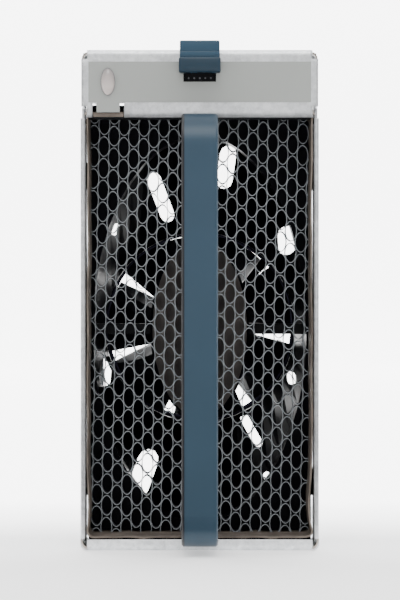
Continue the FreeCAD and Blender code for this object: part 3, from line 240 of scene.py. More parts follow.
def crimped_foil(name, front):
    """The core's foil: its cut front edge is clean and pale, and the walls behind it get painted shade and
    more roughness.
    """
    finish = Finish(name, Metallic=0.45)
    behind = finish.along("Y") > front + 0.05 * MM
    stains = finish.noise(0.004, detail=3.0)
    lip = finish.mix(stains, (0.300, 0.325, 0.345, 1), (0.200, 0.215, 0.228, 1))
    # Painted shade: the tube walls behind the cut edge are coloured near black.
    wall = finish.mix(stains, (0.040, 0.042, 0.048, 1), (0.022, 0.022, 0.027, 1))
    finish.set("Base Color", finish.mix(behind, lip, wall))
    finish.set("Roughness", 0.42 + behind * 0.33)
    finish.bump(stains, 0.00002)
    return finish.material


galvanised_steel = galvanised("galvanised_steel", 0.80, 0.6 * MM)
cover_steel = galvanised("cover_steel", 0.80, 1.8 * MM)
plain_steel = foil("plain_steel", grey(0.55), grey(0.40), 0.28, metallic=1.0)
spring_steel = foil("spring_steel", grey(0.45, -0.03), grey(0.33), 0.30, metallic=1.0)
core_foil = crimped_foil("core_foil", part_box("honeycomb_core")[0].y)
tan_strip = foil("tan_strip", (0.215, 0.178, 0.148, 1), (0.070, 0.058, 0.048, 1), 0.45, metallic=0.4)
burr_steel = foil("burr_steel", (0.52, 0.48, 0.43, 1), (0.22, 0.20, 0.18, 1), 0.30, metallic=0.9)
stator_steel = foil("stator_steel", grey(0.16), grey(0.09), 0.5)
magnet_black = foil("magnet_black", grey(0.05), grey(0.03), 0.6, metallic=0.3)
copper_wire = foil("copper_wire", (0.62, 0.25, 0.11, 1), (0.40, 0.15, 0.07, 1), 0.35, metallic=1.0)
gold_plate = foil("gold_plate", (0.83, 0.62, 0.28, 1), (0.62, 0.45, 0.20, 1), 0.25, metallic=1.0)
print("metals from", galvanised_steel.name, "to", gold_plate.name)

# %% [markdown]
# ## Paint, overlay and mouldings
# The strap's paint has the fine dimpled skin of sprayed enamel. The grey overlay is a satin film. Moulded
# black plastic carries the faint spark texture of its tool. All three are one recipe: a colour that drifts
# slightly, a roughness that follows it, and a fine bump at the right scale. Three of the pieces change
# colour
# along one axis as painted shading: painted shade darkens the strap's left edge and the button's lower step,
# and painted light makes the status light paler towards its foot. The recipe takes that as an axis, a start,
# a reach and a second colour.


# %% Painted and moulded finishes
def skin(name, colour, roughness, grain, depth, drift=0.08, shine=0.5, edge=0.0, shade=None, coat=0.0):
    """A painted or moulded surface, grain metres across. Shade is (axis, start, reach, second colour)."""
    finish = Finish(name, Coat_Weight=coat, Coat_Roughness=0.2, Specular_IOR_Level=shine)
    lumps = finish.noise(grain, detail=2.0)
    clouds = finish.noise(grain * 40, detail=2.0)
    low = tuple(channel * (1 - drift) for channel in colour[:3]) + (1.0,)
    high = tuple(min(1.0, channel * (1 + drift)) for channel in colour[:3]) + (1.0,)
    tone = finish.mix(clouds, low, high)
    # Painted shading: the colour turns to the second colour along one axis.
    if shade:
        axis, start, reach, second = shade
        tone = finish.mix((start - finish.along(axis)) / reach, tone, second)
    finish.set("Base Color", tone)
    finish.set("Roughness", roughness - 0.04 + lumps * 0.08)
    finish.bump(lumps, depth, edge=edge)
    return finish.material


STEP_HEIGHT = 5.5 * MM
strap_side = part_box("handle_strap")[0].x
ridge_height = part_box("latch_button")[0].z + STEP_HEIGHT
lens_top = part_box("led_lens")[1].z
strap_blue = (0.0145, 0.0360, 0.0580, 1)
latch_blue = (0.0085, 0.0340, 0.0610, 1)
mould_tone = (0.0085, 0.0082, 0.0130, 1)
lens_tone = (0.22, 0.200, 0.195, 1)
# Painted shade: the strap's left edge is coloured near black.
painted_shade_edge = ("X", strap_side + 1.3 * MM, 0.5 * MM, (0.006, 0.0065, 0.009, 1))
# Painted shade: the button's lower step is coloured a deeper blue.
painted_shade_step = ("Z", ridge_height, 0.3 * MM, (0.0026, 0.0170, 0.0320, 1))
# Painted light: the status light's colour turns paler towards its foot.
painted_light_foot = ("Z", lens_top - 2.0 * MM, 6.0 * MM, (0.42, 0.37, 0.35, 1))
handle_paint = skin(
    "handle_paint", strap_blue, 0.40, 0.0005, 0.000012, shine=0.35, edge=0.0005, shade=painted_shade_edge
)
button_blue = skin("button_blue", latch_blue, 0.38, 0.0004, 0.000008, shine=0.4, shade=painted_shade_step)
overlay_grey = skin("overlay_grey", (0.232, 0.242, 0.230, 1), 0.46, 0.0003, 0.000003, drift=0.015)
moulded_black = skin("moulded_black", mould_tone, 0.40, 0.0004, 0.00001, shine=0.25, edge=0.0003)
duct_black = skin("duct_black", mould_tone, 0.36, 0.0004, 0.000004, shine=0.04)
bore_black = skin("bore_black", mould_tone, 0.90, 0.0004, 0.00001, shine=0.0)
# Partly painted shade: the slider is black plastic, coloured deeper than the other mouldings to darken its
# slot.
slider_black_and_shade = skin("slider_black_and_shade", (0.0040, 0.0045, 0.0060, 1), 0.60, 0.0004, 0.000006, shine=0.2)
bezel_grey = skin("bezel_grey", (0.150, 0.150, 0.155, 1), 0.50, 0.0004, 0.000006)
# Painted glint: the grips are grey, paler than the black slider they belong to.
painted_glint_grey = skin("painted_glint_grey", (0.110, 0.115, 0.125, 1), 0.35, 0.0004, 0.000006)
hub_brown = skin("hub_brown", (0.190, 0.165, 0.148, 1), 0.50, 0.0006, 0.00001)
board_green = skin("board_green", (0.02, 0.10, 0.045, 1), 0.30, 0.0005, 0.000004)
milky_lens = skin("milky_lens", lens_tone, 0.10, 0.0008, 0.000002, drift=0.03, shade=painted_light_foot, coat=0.6)
print("skins from", handle_paint.name, "to", milky_lens.name)

# %% [markdown]
# ## Dressing the CAD nodes
# Each CAD node keeps its mesh and only gets a finish. A table from finish to nodes is easier to check than
# one line a node, and the last line names any node that was left out.

# %% Finishes for the CAD nodes
dressing = {
    galvanised_steel: ["housing_tray", "latch_guide", "rear_panel", "connector_bracket"],
    cover_steel: ["top_cover"],
    plain_steel: [
        "cover_rivets",
        "board_standoffs",
        "handle_rivets",
        "duct_screws",
        "shroud_screws",
        "motor_shaft",
        "front_bearing",
        "rear_bearing",
    ],
    spring_steel: ["latch_spring", "shaft_clip"],
    core_foil: ["honeycomb_core"],
    tan_strip: ["honeycomb_frame", "frame_clip"],
    handle_paint: ["handle_strap"],
    button_blue: ["latch_button"],
    overlay_grey: ["fascia_label"],
    moulded_black: ["centre_body", "impeller", "connector_housing", "guide_block"],
    duct_black: ["inlet_duct"],
    bore_black: ["fan_shroud"],
    slider_black_and_shade: ["latch_slider"],
    hub_brown: ["hub_label"],
    board_green: ["status_board", "driver_board"],
    milky_lens: ["led_lens", "led_chip"],
    magnet_black: ["rotor_magnet"],
    stator_steel: ["stator_core"],
    copper_wire: ["stator_coils"],
    gold_plate: ["connector_contacts"],
}
for finish, names in dressing.items():
    for name in names:
        nodes[name].data.materials.clear()
        nodes[name].data.materials.append(finish)
bare = set(nodes) - {name for names in dressing.values() for name in names}
print("nodes without a finish:", sorted(bare) or "none")

# %% [markdown]
# ## From a bmesh to a piece
# A bmesh is Blender's workshop mesh: operators cut, extrude and bevel it, and then it is written to an
# object. Every new piece ends the same way, so one helper writes it, shades it, hangs it on the CAD body
# that carries it and hides the CAD node it stands for.


# %% Finish a piece
def points(items):
    """The vertices among what an operator made."""
    return [item for item in items if isinstance(item, bmesh.types.BMVert)]


def finish_piece(name, shape, material, body, stands_for=(), sharp=35):
    """Writes a bmesh to an object that rides on a CAD body. Edges sharper than sharp degrees stay crisp."""
    bmesh.ops.recalc_face_normals(shape, faces=shape.faces)
    mesh = bpy.data.meshes.new(name)
    shape.to_mesh(mesh)
    shape.free()
    mesh.shade_smooth()
    mesh.set_sharp_from_angle(angle=math.radians(sharp))
    mesh.materials.append(material)
    piece = bpy.data.objects.new(name, mesh)
    bpy.context.scene.collection.objects.link(piece)
    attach(piece, body)
    if stands_for:
        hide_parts(*stands_for)
    print(f"{name}: {len(mesh.polygons)} faces")


# %% [markdown]
# ## Shapes made on a lathe or in a mould
# Many small pieces here are rounds or ovals whose width changes along one axis: a rivet's head, a domed
# lens. One helper draws the rings with `create_circle`, bridges each to the next and fills the two ends.
# Moulded blocks come from a second helper, which scales a cube to two corners and rounds its edges, because
# a moulding has no sharp edges and its soft ones are what catch the light.


# %% Lofts and rounded blocks
FACE_OUT = Matrix.Rotation(math.radians(90), 4, "X")
BLOCK_STEPS = 3


def loft(shape, rings, segments, place):
    """Skins over rings of (height, half width, half length) along the place's Z, and closes both ends."""
    loops = []
    for height, half_wide, half_long in rings:
        matrix = place @ Matrix.Translation((0, 0, height)) @ Matrix.Diagonal((half_wide, half_long, 1, 1))
        made = bmesh.ops.create_circle(shape, segments=segments, radius=1, matrix=matrix)
        loops.append(list({edge for vertex in made["verts"] for edge in vertex.link_edges}))
    for near, far in zip(loops, loops[1:]):
        bmesh.ops.bridge_loops(shape, edges=near + far)
    bmesh.ops.holes_fill(shape, edges=loops[0] + loops[-1])


def round_edges(shape, edges, radius, segments):
    """Rounds edges to a radius, with the given number of flats in each curve."""
    settings = {"offset_type": "OFFSET", "profile": 0.5, "affect": "EDGES", "material": -1}
    bmesh.ops.bevel(shape, geom=edges, offset=radius, segments=segments, **settings)


def rounded_block(shape, low, high, radius, slope=0.0):
    """A block between two corners with rounded edges. Slope lowers the rear of its top."""
    middle = (low + high) / 2
    span = high - low
    matrix = Matrix.Translation(middle) @ Matrix.Diagonal((*span, 1))
    corners = bmesh.ops.create_cube(shape, size=1, matrix=matrix)["verts"]
    rear_top = [corner for corner in corners if corner.co.y > middle.y and corner.co.z > middle.z]
    bmesh.ops.translate(shape, verts=rear_top, vec=(0, 0, -slope))
    edges = list({edge for corner in corners for edge in corner.link_edges})
    round_edges(shape, edges, radius, BLOCK_STEPS)


# %% [markdown]
# ## The latch button
# The button is a blue moulding in three steps: a wide lower block, a band that stands proud, and the thumb
# pad above it. Each step has its own rounded edges, so that three soft highlights cross it, as they do on
# the real one. The neck reaches back through the notch in the cover and slopes down to where the catch
# rides.

# %% Build the latch button
button_low, button_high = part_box("latch_button")
STEP_EDGE = 0.55 * MM
BAND_HEIGHT = 2.3 * MM
BAND_EDGE = 0.35 * MM
BAND_SETBACK = 1.3 * MM
BAND_LAP = 0.5 * MM
PAD_SETBACK = 1.7 * MM
PAD_INSET = 0.3 * MM
PAD_EDGE = 0.6 * MM
PAD_LAP = 0.8 * MM
NECK_INSET = 1.95 * MM
NECK_EDGE = 0.4 * MM
NECK_SLOPE = 3.0 * MM
NECK_LAP = 1.0 * MM
LABEL_GAP = 0.2 * MM
face_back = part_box("fascia_label")[0].y - LABEL_GAP


def build_button():
    """Three blocks in front of the fascia and a neck through the cover's notch."""
    shape = bmesh.new()
    step = button_low.z + STEP_HEIGHT
    ridge = step + BAND_HEIGHT
    lower_high = Vector((button_high.x, face_back, step))
    rounded_block(shape, button_low, lower_high, STEP_EDGE)
    band_low = Vector((button_low.x + PAD_INSET, button_low.y + BAND_SETBACK, step - BAND_LAP))
    band_high = Vector((button_high.x - PAD_INSET, face_back, ridge))
    rounded_block(shape, band_low, band_high, BAND_EDGE)
    pad_low = Vector((band_low.x, button_low.y + PAD_SETBACK, ridge - PAD_LAP))
    rounded_block(shape, pad_low, Vector((band_high.x, face_back, button_high.z)), PAD_EDGE)
    neck_low = Vector((button_low.x + NECK_INSET, face_back - NECK_LAP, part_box("latch_slider")[1].z))
    neck_high = Vector((button_high.x - NECK_INSET, button_high.y, button_high.z))
    rounded_block(shape, neck_low, neck_high, NECK_EDGE, slope=NECK_SLOPE)
    return shape


finish_piece("button_moulding", build_button(), button_blue, "latch", ["latch_button"])

# %% [markdown]
# ## Grips on the slider
# Below the button the slot shows the black slider, with a row of small raised grips painted grey as
# glints. They are the slider's own texture, too fine for the CAD, so they ride on the latch and move with
# it.

# %% Build the grips
GRIP_COUNT = 5
GRIP_HALF_WIDE = 0.3 * MM
GRIP_HALF_HIGH = 0.35 * MM
GRIP_REACH = 0.25 * MM
GRIP_ROOT = 0.3 * MM
GRIP_EDGE = 0.2 * MM
GRIP_DROP = 2.0 * MM


def build_grips():
    """A row of small ribs across the middle of the slider's face, near its top."""
    shape = bmesh.new()
    slider_low, slider_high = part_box("latch_slider")
    spacing = (slider_high.x - slider_low.x) / (2 * GRIP_COUNT - 1)
    height = slider_high.z - GRIP_DROP
    for index in range(GRIP_COUNT):
        across = (index - (GRIP_COUNT - 1) / 2) * spacing
        low = Vector((across - GRIP_HALF_WIDE, slider_low.y - GRIP_REACH, height - GRIP_HALF_HIGH))
        high = Vector((across + GRIP_HALF_WIDE, slider_low.y + GRIP_ROOT, height + GRIP_HALF_HIGH))
        rounded_block(shape, low, high, GRIP_EDGE)
    return shape


finish_piece("slider_grips", build_grips(), painted_glint_grey, "latch")

# %% [markdown]
# ## The status light
# The light is a milky oval pipe with a domed face, held behind the fascia by a collar. A thin grey bezel
# lines its hole. The dome is a stack of ovals that shrink along a quarter turn, so that one highlight sits
# near its top.

# %% Build the light
lens_low, lens_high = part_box("led_lens")
lens_middle = (lens_low + lens_high) / 2
COLLAR = 1.0 * MM
COLLAR_SETBACK = 2.9 * MM
DOME_SETBACK = 0.3 * MM
DOME_HEIGHT = 1.8 * MM
DOME_STEPS = 7
DOME_CLOSE = 0.72
OVAL_SIDES = 32
lens_wide = (lens_high.x - lens_low.x) / 2 - COLLAR
lens_long = (lens_high.z - lens_low.z) / 2 - COLLAR


def build_lens():
    """Rings from the rear forward: a stem, the collar, the stem again and the dome."""
    shape = bmesh.new()
    reach = lens_high.y - lens_low.y
    collar_back = reach - COLLAR_SETBACK
    collar_front = collar_back + COLLAR
    rings = [(0, lens_wide, lens_long), (collar_back, lens_wide, lens_long)]
    rings += [(height, lens_wide + COLLAR, lens_long + COLLAR) for height in (collar_back, collar_front)]
    rings.append((collar_front, lens_wide, lens_long))
    for step in range(DOME_STEPS + 1):
        turn = math.radians(90) * step / DOME_STEPS
        shrink = 1 - DOME_CLOSE * (1 - math.cos(turn))
        height = reach - DOME_SETBACK + DOME_HEIGHT * math.sin(turn)
        rings.append((height, lens_wide * shrink, lens_long * shrink))
    place = Matrix.Translation((lens_middle.x, lens_high.y, lens_middle.z)) @ FACE_OUT
    loft(shape, rings, OVAL_SIDES, place)
    return shape


BEZEL_RIM = 0.26 * MM
BEZEL_SINK = 0.2 * MM
BEZEL_SHOULDER = 0.32 * MM
BEZEL_RISE = 0.36 * MM
BEZEL_CLEAR = 0.02 * MM


def build_bezel():
    """Five ovals bridged in a loop: up the outside, over a rounded shoulder and down the hole."""
    shape = bmesh.new()
    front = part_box("fascia_label")[0].y + BEZEL_SINK
    place = Matrix.Translation((lens_middle.x, front, lens_middle.z)) @ FACE_OUT
    ovals = [(0, BEZEL_RIM), (BEZEL_SHOULDER, BEZEL_RIM), (BEZEL_RISE, BEZEL_RIM / 2)]
    ovals += [(BEZEL_RISE, BEZEL_CLEAR), (0, BEZEL_CLEAR)]
    for height, outer in ovals:
        wide = Matrix.Diagonal((lens_wide + outer, lens_long + outer, 1, 1))
        matrix = place @ Matrix.Translation((0, 0, height)) @ wide
        bmesh.ops.create_circle(shape, segments=OVAL_SIDES, radius=1, matrix=matrix)
    shape.edges.ensure_lookup_table()
    loops = [shape.edges[start : start + OVAL_SIDES] for start in range(0, len(shape.edges), OVAL_SIDES)]
    for near, far in zip(loops, loops[1:] + loops[:1]):
        bmesh.ops.bridge_loops(shape, edges=near + far)
    return shape


finish_piece("light_pipe", build_lens(), milky_lens, "housing", ["led_lens"], sharp=50)
finish_piece("light_bezel", build_bezel(), bezel_grey, "housing", sharp=50)

# %% [markdown]
# ## Rivets and screws in the side walls
# The cover and the duct are held by blind rivets through the side walls. A blind rivet is a tube whose
# front is spun into a low dome, and its pulled mandrel leaves a dimple in the middle. Their places come
# from the boxes of the two CAD nodes, whose fasteners stand at the boxes' corners.

# %% Build the side rivets
RIVET_SHANK = 1.2 * MM
RIVET_HEAD = 2.1 * MM
RIVET_RISE = 0.35 * MM
RIVET_SIDES = 20


def rivet_rings(length):
    """A shank, a head that rounds over, and the dimple that its mandrel leaves."""
    profile = [(-length, RIVET_SHANK), (0, RIVET_SHANK)]
    head = ((0, 1), (0.45, 0.97), (0.85, 0.78), (1, 0.48), (1, 0.36), (0.2, 0.30))
    profile += [(RIVET_RISE * rise, RIVET_HEAD * share) for rise, share in head]
    return [(height, radius, radius) for height, radius in profile]


def build_side_rivets(node, length):
    """One rivet at each end of the node's box, on both side walls."""
    shape = bmesh.new()
    low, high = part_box(node)
    flat = high.z - low.z < 3 * RIVET_HEAD
    depths = (low.y + RIVET_HEAD, high.y - RIVET_HEAD) if flat else ((low.y + high.y) / 2,)
    heights = ((low.z + high.z) / 2,) if flat else (low.z + RIVET_HEAD, high.z - RIVET_HEAD)
    for side in (-1, 1):
        wall = side * (high.x - RIVET_RISE)
        for y in depths:
            for z in heights:
                place = Matrix.Translation((wall, y, z)) @ Matrix.Rotation(math.radians(90 * side), 4, "Y")
                loft(shape, rivet_rings(length), RIVET_SIDES, place)
    return shape


for node, length in (("cover_rivets", 3.0 * MM), ("duct_screws", 5.5 * MM)):
    rivets = build_side_rivets(node, length)
    finish_piece(f"{node}_heads", rivets, plain_steel, "housing", [node], sharp=50)

# %% [markdown]
# ## The honeycomb
# The core is made of crimped foil tubes packed side by side. Seen from the front they are tall ovals in
# staggered columns, each touching four neighbours, with small dark gaps between them. One tube is made from
# two circles bridged into a ring and extruded, and then it is copied to every place of the lattice. The
# lattice leans a little, as a real core does when it is pressed into its frame, and the outermost tubes are
# sliced off where the frame holds them.

# %% Pack the honeycomb's tubes
core_low, core_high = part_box("honeycomb_core")
TUBE_PITCH = 8.175 * MM
COLUMN_PITCH = 3.735 * MM
TUBE_WALL = 0.23 * MM
TUBE_FILL = 0.95
TUBE_SIDES = 16
TUBE_CRIMP = 1.25
CLEARANCE = 0.999
SIDE_MARGIN = 0.6
END_MARGIN = 0.3
ROW_LEAN = -0.045
COLUMN_LEAN = 0.020


def tube_ring(shape, half_wide, half_high, depth):
    """An upright oval ring of foil, from y = 0 to y = depth."""
    rings = []
    for inset in (0, TUBE_WALL):
        scale = Matrix.Diagonal((half_wide - inset, half_high - inset * TUBE_CRIMP, 1, 1))
        made = bmesh.ops.create_circle(shape, segments=TUBE_SIDES, radius=1, matrix=FACE_OUT @ scale)
        rings += list({edge for vertex in made["verts"] for edge in vertex.link_edges})
    face_ring = bmesh.ops.bridge_loops(shape, edges=rings)["faces"]
    pushed = bmesh.ops.extrude_face_region(shape, geom=face_ring, use_keep_orig=True)["geom"]
    bmesh.ops.translate(shape, verts=points(pushed), vec=(0, depth, 0))
    return shape.verts[:] + shape.edges[:] + shape.faces[:]


def build_core():
    """Copies one tube to the leaning lattice and slices the pack off at the core's box."""
    shape = bmesh.new()
    depth = core_high.y - core_low.y
    half_high = TUBE_PITCH / 2 * TUBE_FILL
    half_wide = COLUMN_PITCH / math.sqrt(4 - 1 / TUBE_FILL**2)
    margin_x = half_wide * SIDE_MARGIN
    margin_z = TUBE_PITCH * END_MARGIN
    tube = tube_ring(shape, half_wide * CLEARANCE, half_high * CLEARANCE, depth)
    centre = Vector(((core_low.x + core_high.x) / 2, core_low.y, (core_low.z + core_high.z) / 2))
    columns = int((core_high.x - core_low.x) / 2 / COLUMN_PITCH) + 2
    rows = int((core_high.z - core_low.z) / 2 / TUBE_PITCH) + 2
    for column in range(-columns, columns + 1):
        for row in range(-rows, rows + 1):
            across = column * COLUMN_PITCH
            up = (row + 0.5 * (column % 2)) * TUBE_PITCH
            place = centre + Vector((across + up * COLUMN_LEAN, 0, up + across * ROW_LEAN))
            inside_x = core_low.x - margin_x < place.x < core_high.x + margin_x
            inside_z = core_low.z - margin_z < place.z < core_high.z + margin_z
            if inside_x and inside_z:
                copy = bmesh.ops.duplicate(shape, geom=tube)["geom"]
                bmesh.ops.translate(shape, verts=points(copy), vec=place)
    bmesh.ops.delete(shape, geom=points(tube), context="VERTS")
    trims = (
        (core_low, (-1, 0, 0)),
        (core_high, (1, 0, 0)),
        (core_low, (0, 0, -1)),
        (core_high, (0, 0, 1)),
    )
    for corner, outward in trims:
        plane = {"plane_co": corner, "plane_no": outward, "clear_outer": True}
        cut = bmesh.ops.bisect_plane(shape, geom=shape.verts[:] + shape.edges[:] + shape.faces[:], **plane)
        rim = [item for item in cut["geom_cut"] if isinstance(item, bmesh.types.BMEdge)]
        bmesh.ops.holes_fill(shape, edges=rim)
    return shape


finish_piece("honeycomb_tubes", build_core(), core_foil, "housing", ["honeycomb_core"])

# %% [markdown]
# ## The strip round the honeycomb
# The core is wrapped in one thin strip of metal with a dull tan coat. It is soft, so that it waves a little
# where the core presses on it, most of all low on the right. A cube gives the sleeve: its two ends are
# taken off, its four corners are bevelled round, its sides are subdivided and pushed in and out, and
# `solidify` gives the sheet its thickness.

# %% Bend the strip
strip_low, strip_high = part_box("honeycomb_frame")
STRIP_GAUGE = 0.6 * MM
STRIP_CORNER = 2.6 * MM
STRIP_CORNER_STEPS = 5
STRIP_CUTS = 47
SIDE_START = 30 * MM
SIDE_RIPPLE = 0.12 * MM
SIDE_WAVE = 5.1 * MM
FOOT_RIPPLE = 0.18 * MM
FOOT_WAVE = 1.9 * MM
FOOT_SWAY = 7.3 * MM
DENT_LEFT = 0.4 * MM
DENT_RIGHT = 1.2 * MM
DENT_HEIGHT = 17 * MM
DENT_REACH = 9 * MM
BOW_DEPTH = 0.3 * MM
BOW_HEIGHT = 118 * MM
BOW_REACH = 20 * MM


def swell(height, middle, reach, depth):
    """A smooth bump of the given depth round a height."""
    return depth * math.exp(-(((height - middle) / reach) ** 2))


def build_strip():
    """A sleeve with round corners, rippled along its sides and foot and dented near the foot."""
    shape = bmesh.new()
    span = strip_high - strip_low
    matrix = Matrix.Translation((strip_low + strip_high) / 2) @ Matrix.Diagonal((*span, 1))
    bmesh.ops.create_cube(shape, size=1, matrix=matrix)
    ends = [face for face in shape.faces if abs(face.normal.y) > 0.5]
    bmesh.ops.delete(shape, geom=ends, context="FACES_ONLY")
    corners = [edge for edge in shape.edges if abs(edge.verts[0].co.y - edge.verts[1].co.y) > span.y / 2]
    round_edges(shape, corners, STRIP_CORNER, STRIP_CORNER_STEPS)
    long_edges = [edge for edge in shape.edges if edge.calc_length() > span.x / 2]
    bmesh.ops.subdivide_edges(shape, edges=long_edges, cuts=STRIP_CUTS, use_grid_fill=True)
    for vertex in shape.verts:
        x, z = vertex.co.x, vertex.co.z
        between = strip_low.z + STRIP_CORNER < z < strip_high.z - STRIP_CORNER
        if between and abs(x) > SIDE_START:
            press = SIDE_RIPPLE * (1 + math.sin(z / SIDE_WAVE + x * 30))
            press += swell(z, DENT_HEIGHT, DENT_REACH, DENT_RIGHT if x > 0 else DENT_LEFT)
            press += swell(z, BOW_HEIGHT, BOW_REACH, BOW_DEPTH)
            vertex.co.x -= math.copysign(press, x)
        elif z < strip_low.z + STRIP_CORNER:
            vertex.co.z += FOOT_RIPPLE * (1 + math.sin(x / FOOT_WAVE) * math.cos(x / FOOT_SWAY))
    bmesh.ops.recalc_face_normals(shape, faces=shape.faces)
    bmesh.ops.solidify(shape, geom=shape.faces[:], thickness=STRIP_GAUGE)
    return shape


finish_piece("core_strip", build_strip(), tan_strip, "housing", ["honeycomb_frame"], sharp=50)

# %% [markdown]
# ## Curled corners
# Where two flanges meet, the sheet is cut short so that it can bend, and the cut ends curl round each other
# with bright torn edges. Each curl is a narrow strip spun a quarter turn about the depth axis and then
# stretched to the corner's own outline.

# %% Spin the curls
sheet_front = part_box("housing_tray")[0].y
CURL_GAUGE = 0.55 * MM
CURL_DEPTH = 2.4 * MM
CURL_SETBACK = 0.1 * MM
CURL_STEPS = 7
COVER_CURL = (1.9 * MM, 2.9 * MM)
SEAM_CURL = (1.3 * MM, 2.2 * MM)
BASE_CURL = (2.3 * MM, 3.7 * MM)
corner_x = 41.5 * MM
seam_x = 42.4 * MM
cover_corner_z = 180.5 * MM
seam_z = 162.4 * MM
base_corner_z = 4.25 * MM


def add_curl(shape, x, z, wide, high, start):
    """A quarter ring round (x, z), from the start angle in degrees, wide and high at its outside."""
    reach = 1 - CURL_GAUGE / wide
    matrix = Matrix.Translation(((1 + reach) / 2, 0, 0)) @ Matrix.Diagonal((1 - reach, 1, 1, 1))
    made = bmesh.ops.create_grid(shape, x_segments=1, y_segments=1, size=0.5, matrix=matrix)["verts"]
    profile = list({face for vertex in made for face in vertex.link_faces})
    turn = Matrix.Rotation(math.radians(-start), 4, "Y")
    bmesh.ops.transform(shape, matrix=turn, verts=made)
    before = set(shape.verts)
    profile += list({edge for face in profile for edge in face.edges}) + made
    quarter = {"cent": (0, 0, 0), "axis": (0, -1, 0), "angle": math.radians(90), "steps": CURL_STEPS}
    bmesh.ops.spin(shape, geom=profile, **quarter)
    curl = made + [vertex for vertex in shape.verts if vertex not in before]
    fit = Matrix.Translation((x, sheet_front + CURL_DEPTH / 2 + CURL_SETBACK, z))
    bmesh.ops.transform(shape, matrix=fit @ Matrix.Diagonal((wide, CURL_DEPTH, high, 1)), verts=curl)


def build_curls():
    """Curls at the cover's top corners, at the seams under it and at the tray's bottom corners."""
    shape = bmesh.new()
    for side, start in ((-1, 90), (1, 0)):
        add_curl(shape, side * corner_x, cover_corner_z, *COVER_CURL, start)
        add_curl(shape, side * seam_x, seam_z, *SEAM_CURL, start + 180)
    for side, start in ((-1, 180), (1, 270)):
        add_curl(shape, side * corner_x, base_corner_z, *BASE_CURL, start)
    bmesh.ops.remove_doubles(shape, verts=shape.verts, dist=MM / 1000)
    return shape


finish_piece("corner_curls", build_curls(), burr_steel, "housing")

# %% [markdown]
# ## The sweep
# The object stands on a pale sweep: a floor that curves up into a backdrop, so that no horizon line shows
# behind it or through the fan. It is one edge slid along a profile. A product picture has its backdrop lit
# apart from the object, to nearly white. Here the paper glows a little by itself behind the object, and
# less in front of it, so that it doesn't light the object from below.

# %% Make the sweep
SWEEP_HALF_WIDE = 6.0
SWEEP_START = -3.0
SWEEP_DROP = -0.00005
SWEEP_RADIUS = 0.8
SWEEP_STEPS = 12
FLOOR_DEPTH = 5.0
WALL_HEIGHT = 3.0
PAPER_GLOW = 4.4


def build_sweep():
    """A floor that turns up into a backdrop, made by sliding one edge along the profile."""
    shape = bmesh.new()
    ends = [shape.verts.new((side * SWEEP_HALF_WIDE, SWEEP_START, SWEEP_DROP)) for side in (-1, 1)]
    edge = [shape.edges.new(ends)]
    arc = math.radians(90) / SWEEP_STEPS
    steps = [Vector((0, FLOOR_DEPTH, 0))]
    for index in range(SWEEP_STEPS):
        turn = arc * (index + 0.5)
        steps.append(Vector((0, math.cos(turn), math.sin(turn))) * SWEEP_RADIUS * arc)
    steps.append(Vector((0, 0, WALL_HEIGHT)))
    for step in steps:
        pushed = bmesh.ops.extrude_edge_only(shape, edges=edge)["geom"]
        edge = [item for item in pushed if isinstance(item, bmesh.types.BMEdge)]
        bmesh.ops.translate(shape, verts=points(pushed), vec=step)
    bmesh.ops.recalc_face_normals(shape, faces=shape.faces)
    return shape


def set_up(name, shape, material):
    """Writes a bmesh to an object of the studio, which isn't part of the fan module."""
    mesh = bpy.data.meshes.new(name)
    shape.to_mesh(mesh)
    shape.free()
    mesh.materials.append(material)
    prop = bpy.data.objects.new(name, mesh)
    bpy.context.scene.collection.objects.link(prop)
    return prop


paper = Finish("paper", Roughness=0.9, Emission_Strength=PAPER_GLOW)
near = paper.mix((paper.along("Y") + 0.36) / 0.20, grey(0.05), grey(0.13))
paper.set("Emission Color", paper.mix((paper.along("Y") + 0.02) / 0.16, near, grey(1.0)))
paper.set("Base Color", paper.mix(paper.noise(0.4), grey(0.90), grey(0.93)))
sweep = set_up("sweep", build_sweep(), paper.material)
sweep.data.shade_smooth()
print(f"the paper's floor is {FLOOR_DEPTH} m deep and its wall {WALL_HEIGHT} m high")

# %% [markdown]
# ## Lights and dark flags
# Large soft lights overhead and at both sides give the broad highlights of a product picture. In a white
# room bare metal would have no outline, so black cards stand beside the camera, and the bends reflect them
# as thin dark lines. The cards are seen by reflections alone: they cast no shadow and no camera sees them.

# %% Place the lights
middle = Vector((0, 0, (cad_box[0][2] + cad_box[1][2]) / 2))


def soft_light(name, place, size, power):
    """A square area light that looks at the object's middle."""
    data = bpy.data.lights.new(name, "AREA")
    data.shape = "SQUARE"
    data.size = size
    data.energy = power
    light = bpy.data.objects.new(name, data)
    light.location = place
    light.rotation_euler = (middle - Vector(place)).to_track_quat("-Z", "Y").to_euler()
    bpy.context.scene.collection.objects.link(light)


soft_light("overhead", (0, -0.7, 1.0), 0.6, 6)
soft_light("left", (-1.3, -0.9, 0.7), 0.9, 2)
soft_light("right", (1.3, -0.9, 0.7), 0.9, 3)
print(len(bpy.data.lights), "soft lights")


# %% Place the flags
def dark_flag(name, place, turn, wide, high):
    """A dark card that only reflections see."""
    shape = bmesh.new()
    matrix = Matrix.Translation(place) @ turn @ Matrix.Diagonal((wide, high, 1, 1))
    bmesh.ops.create_grid(shape, x_segments=1, y_segments=1, size=0.5, matrix=matrix)
    flag = set_up(name, shape, card.material)
    flag.visible_camera = flag.visible_diffuse = flag.visible_shadow = flag.visible_transmission = False


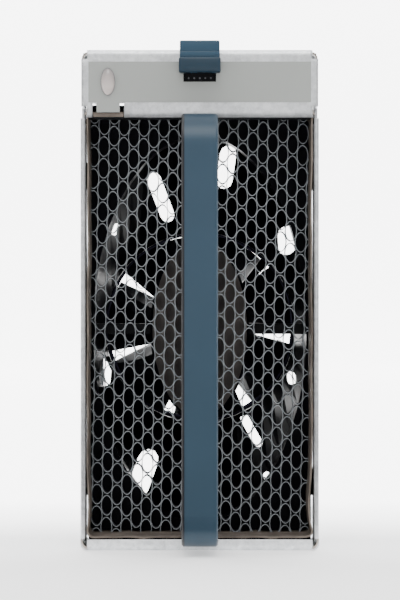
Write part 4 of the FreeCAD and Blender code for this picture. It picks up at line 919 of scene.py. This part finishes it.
card = Finish("card", Roughness=0.9, Specular_IOR_Level=0.0)
card.set("Base Color", card.mix(card.noise(0.1), grey(0.02), grey(0.03)))
upright = Matrix.Rotation(math.radians(90), 4, "X")
for side in (-1, 1):
    turn = Matrix.Rotation(math.radians(side * 55), 4, "Z") @ upright
    dark_flag(f"flag_{side}", (side * 0.80, -0.56, 0.3), turn, 0.62, 1.4)
dark_flag("flag_low", (0, -0.43, 0.002), Matrix.Identity(4), 1.2, 0.68)
print("dark flags at the left, the right and low in front")

# %% [markdown]
# ## Sky and camera
# The world fills the shadows. It is even round the sides and brighter overhead, like a room with a white
# ceiling. The camera stands level with the middle of the body, and its lens is worked out from how far off
# it stands and how much it has to show.

# %% Light the sky and set the camera
world = bpy.data.worlds.new("studio")
world.use_nodes = True
sky = world.node_tree.nodes
direction = sky.new("ShaderNodeTexCoord")
split = sky.new("ShaderNodeSeparateXYZ")
ceiling = sky.new("ShaderNodeMapRange")
for socket, value in (("From Min", 0.15), ("From Max", 0.55), ("To Min", 0.80), ("To Max", 1.75)):
    ceiling.inputs[socket].default_value = value
world.node_tree.links.new(direction.outputs["Generated"], split.inputs["Vector"])
world.node_tree.links.new(split.outputs["Z"], ceiling.inputs["Value"])
world.node_tree.links.new(ceiling.outputs["Result"], sky["Background"].inputs["Strength"])
sky["Background"].inputs["Color"].default_value = (1, 1, 1, 1)
bpy.context.scene.world = world

CAMERA_REACH = 0.80
CAMERA_HEIGHT = 0.0922
CAMERA_SHIFT = 0.0001
FRAME_HEIGHT = 0.2208
camera_data = bpy.data.cameras.new("camera")
camera_data.lens = camera_data.sensor_width * CAMERA_REACH / FRAME_HEIGHT
camera_data.clip_start = 0.01
camera = bpy.data.objects.new("camera", camera_data)
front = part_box("top_cover")[0].y
camera.location = (CAMERA_SHIFT, front - CAMERA_REACH, CAMERA_HEIGHT)
camera.rotation_euler = (math.radians(90), 0, 0)
bpy.context.scene.collection.objects.link(camera)
bpy.context.scene.camera = camera
print(f"the lens is {camera_data.lens:.1f} mm long")
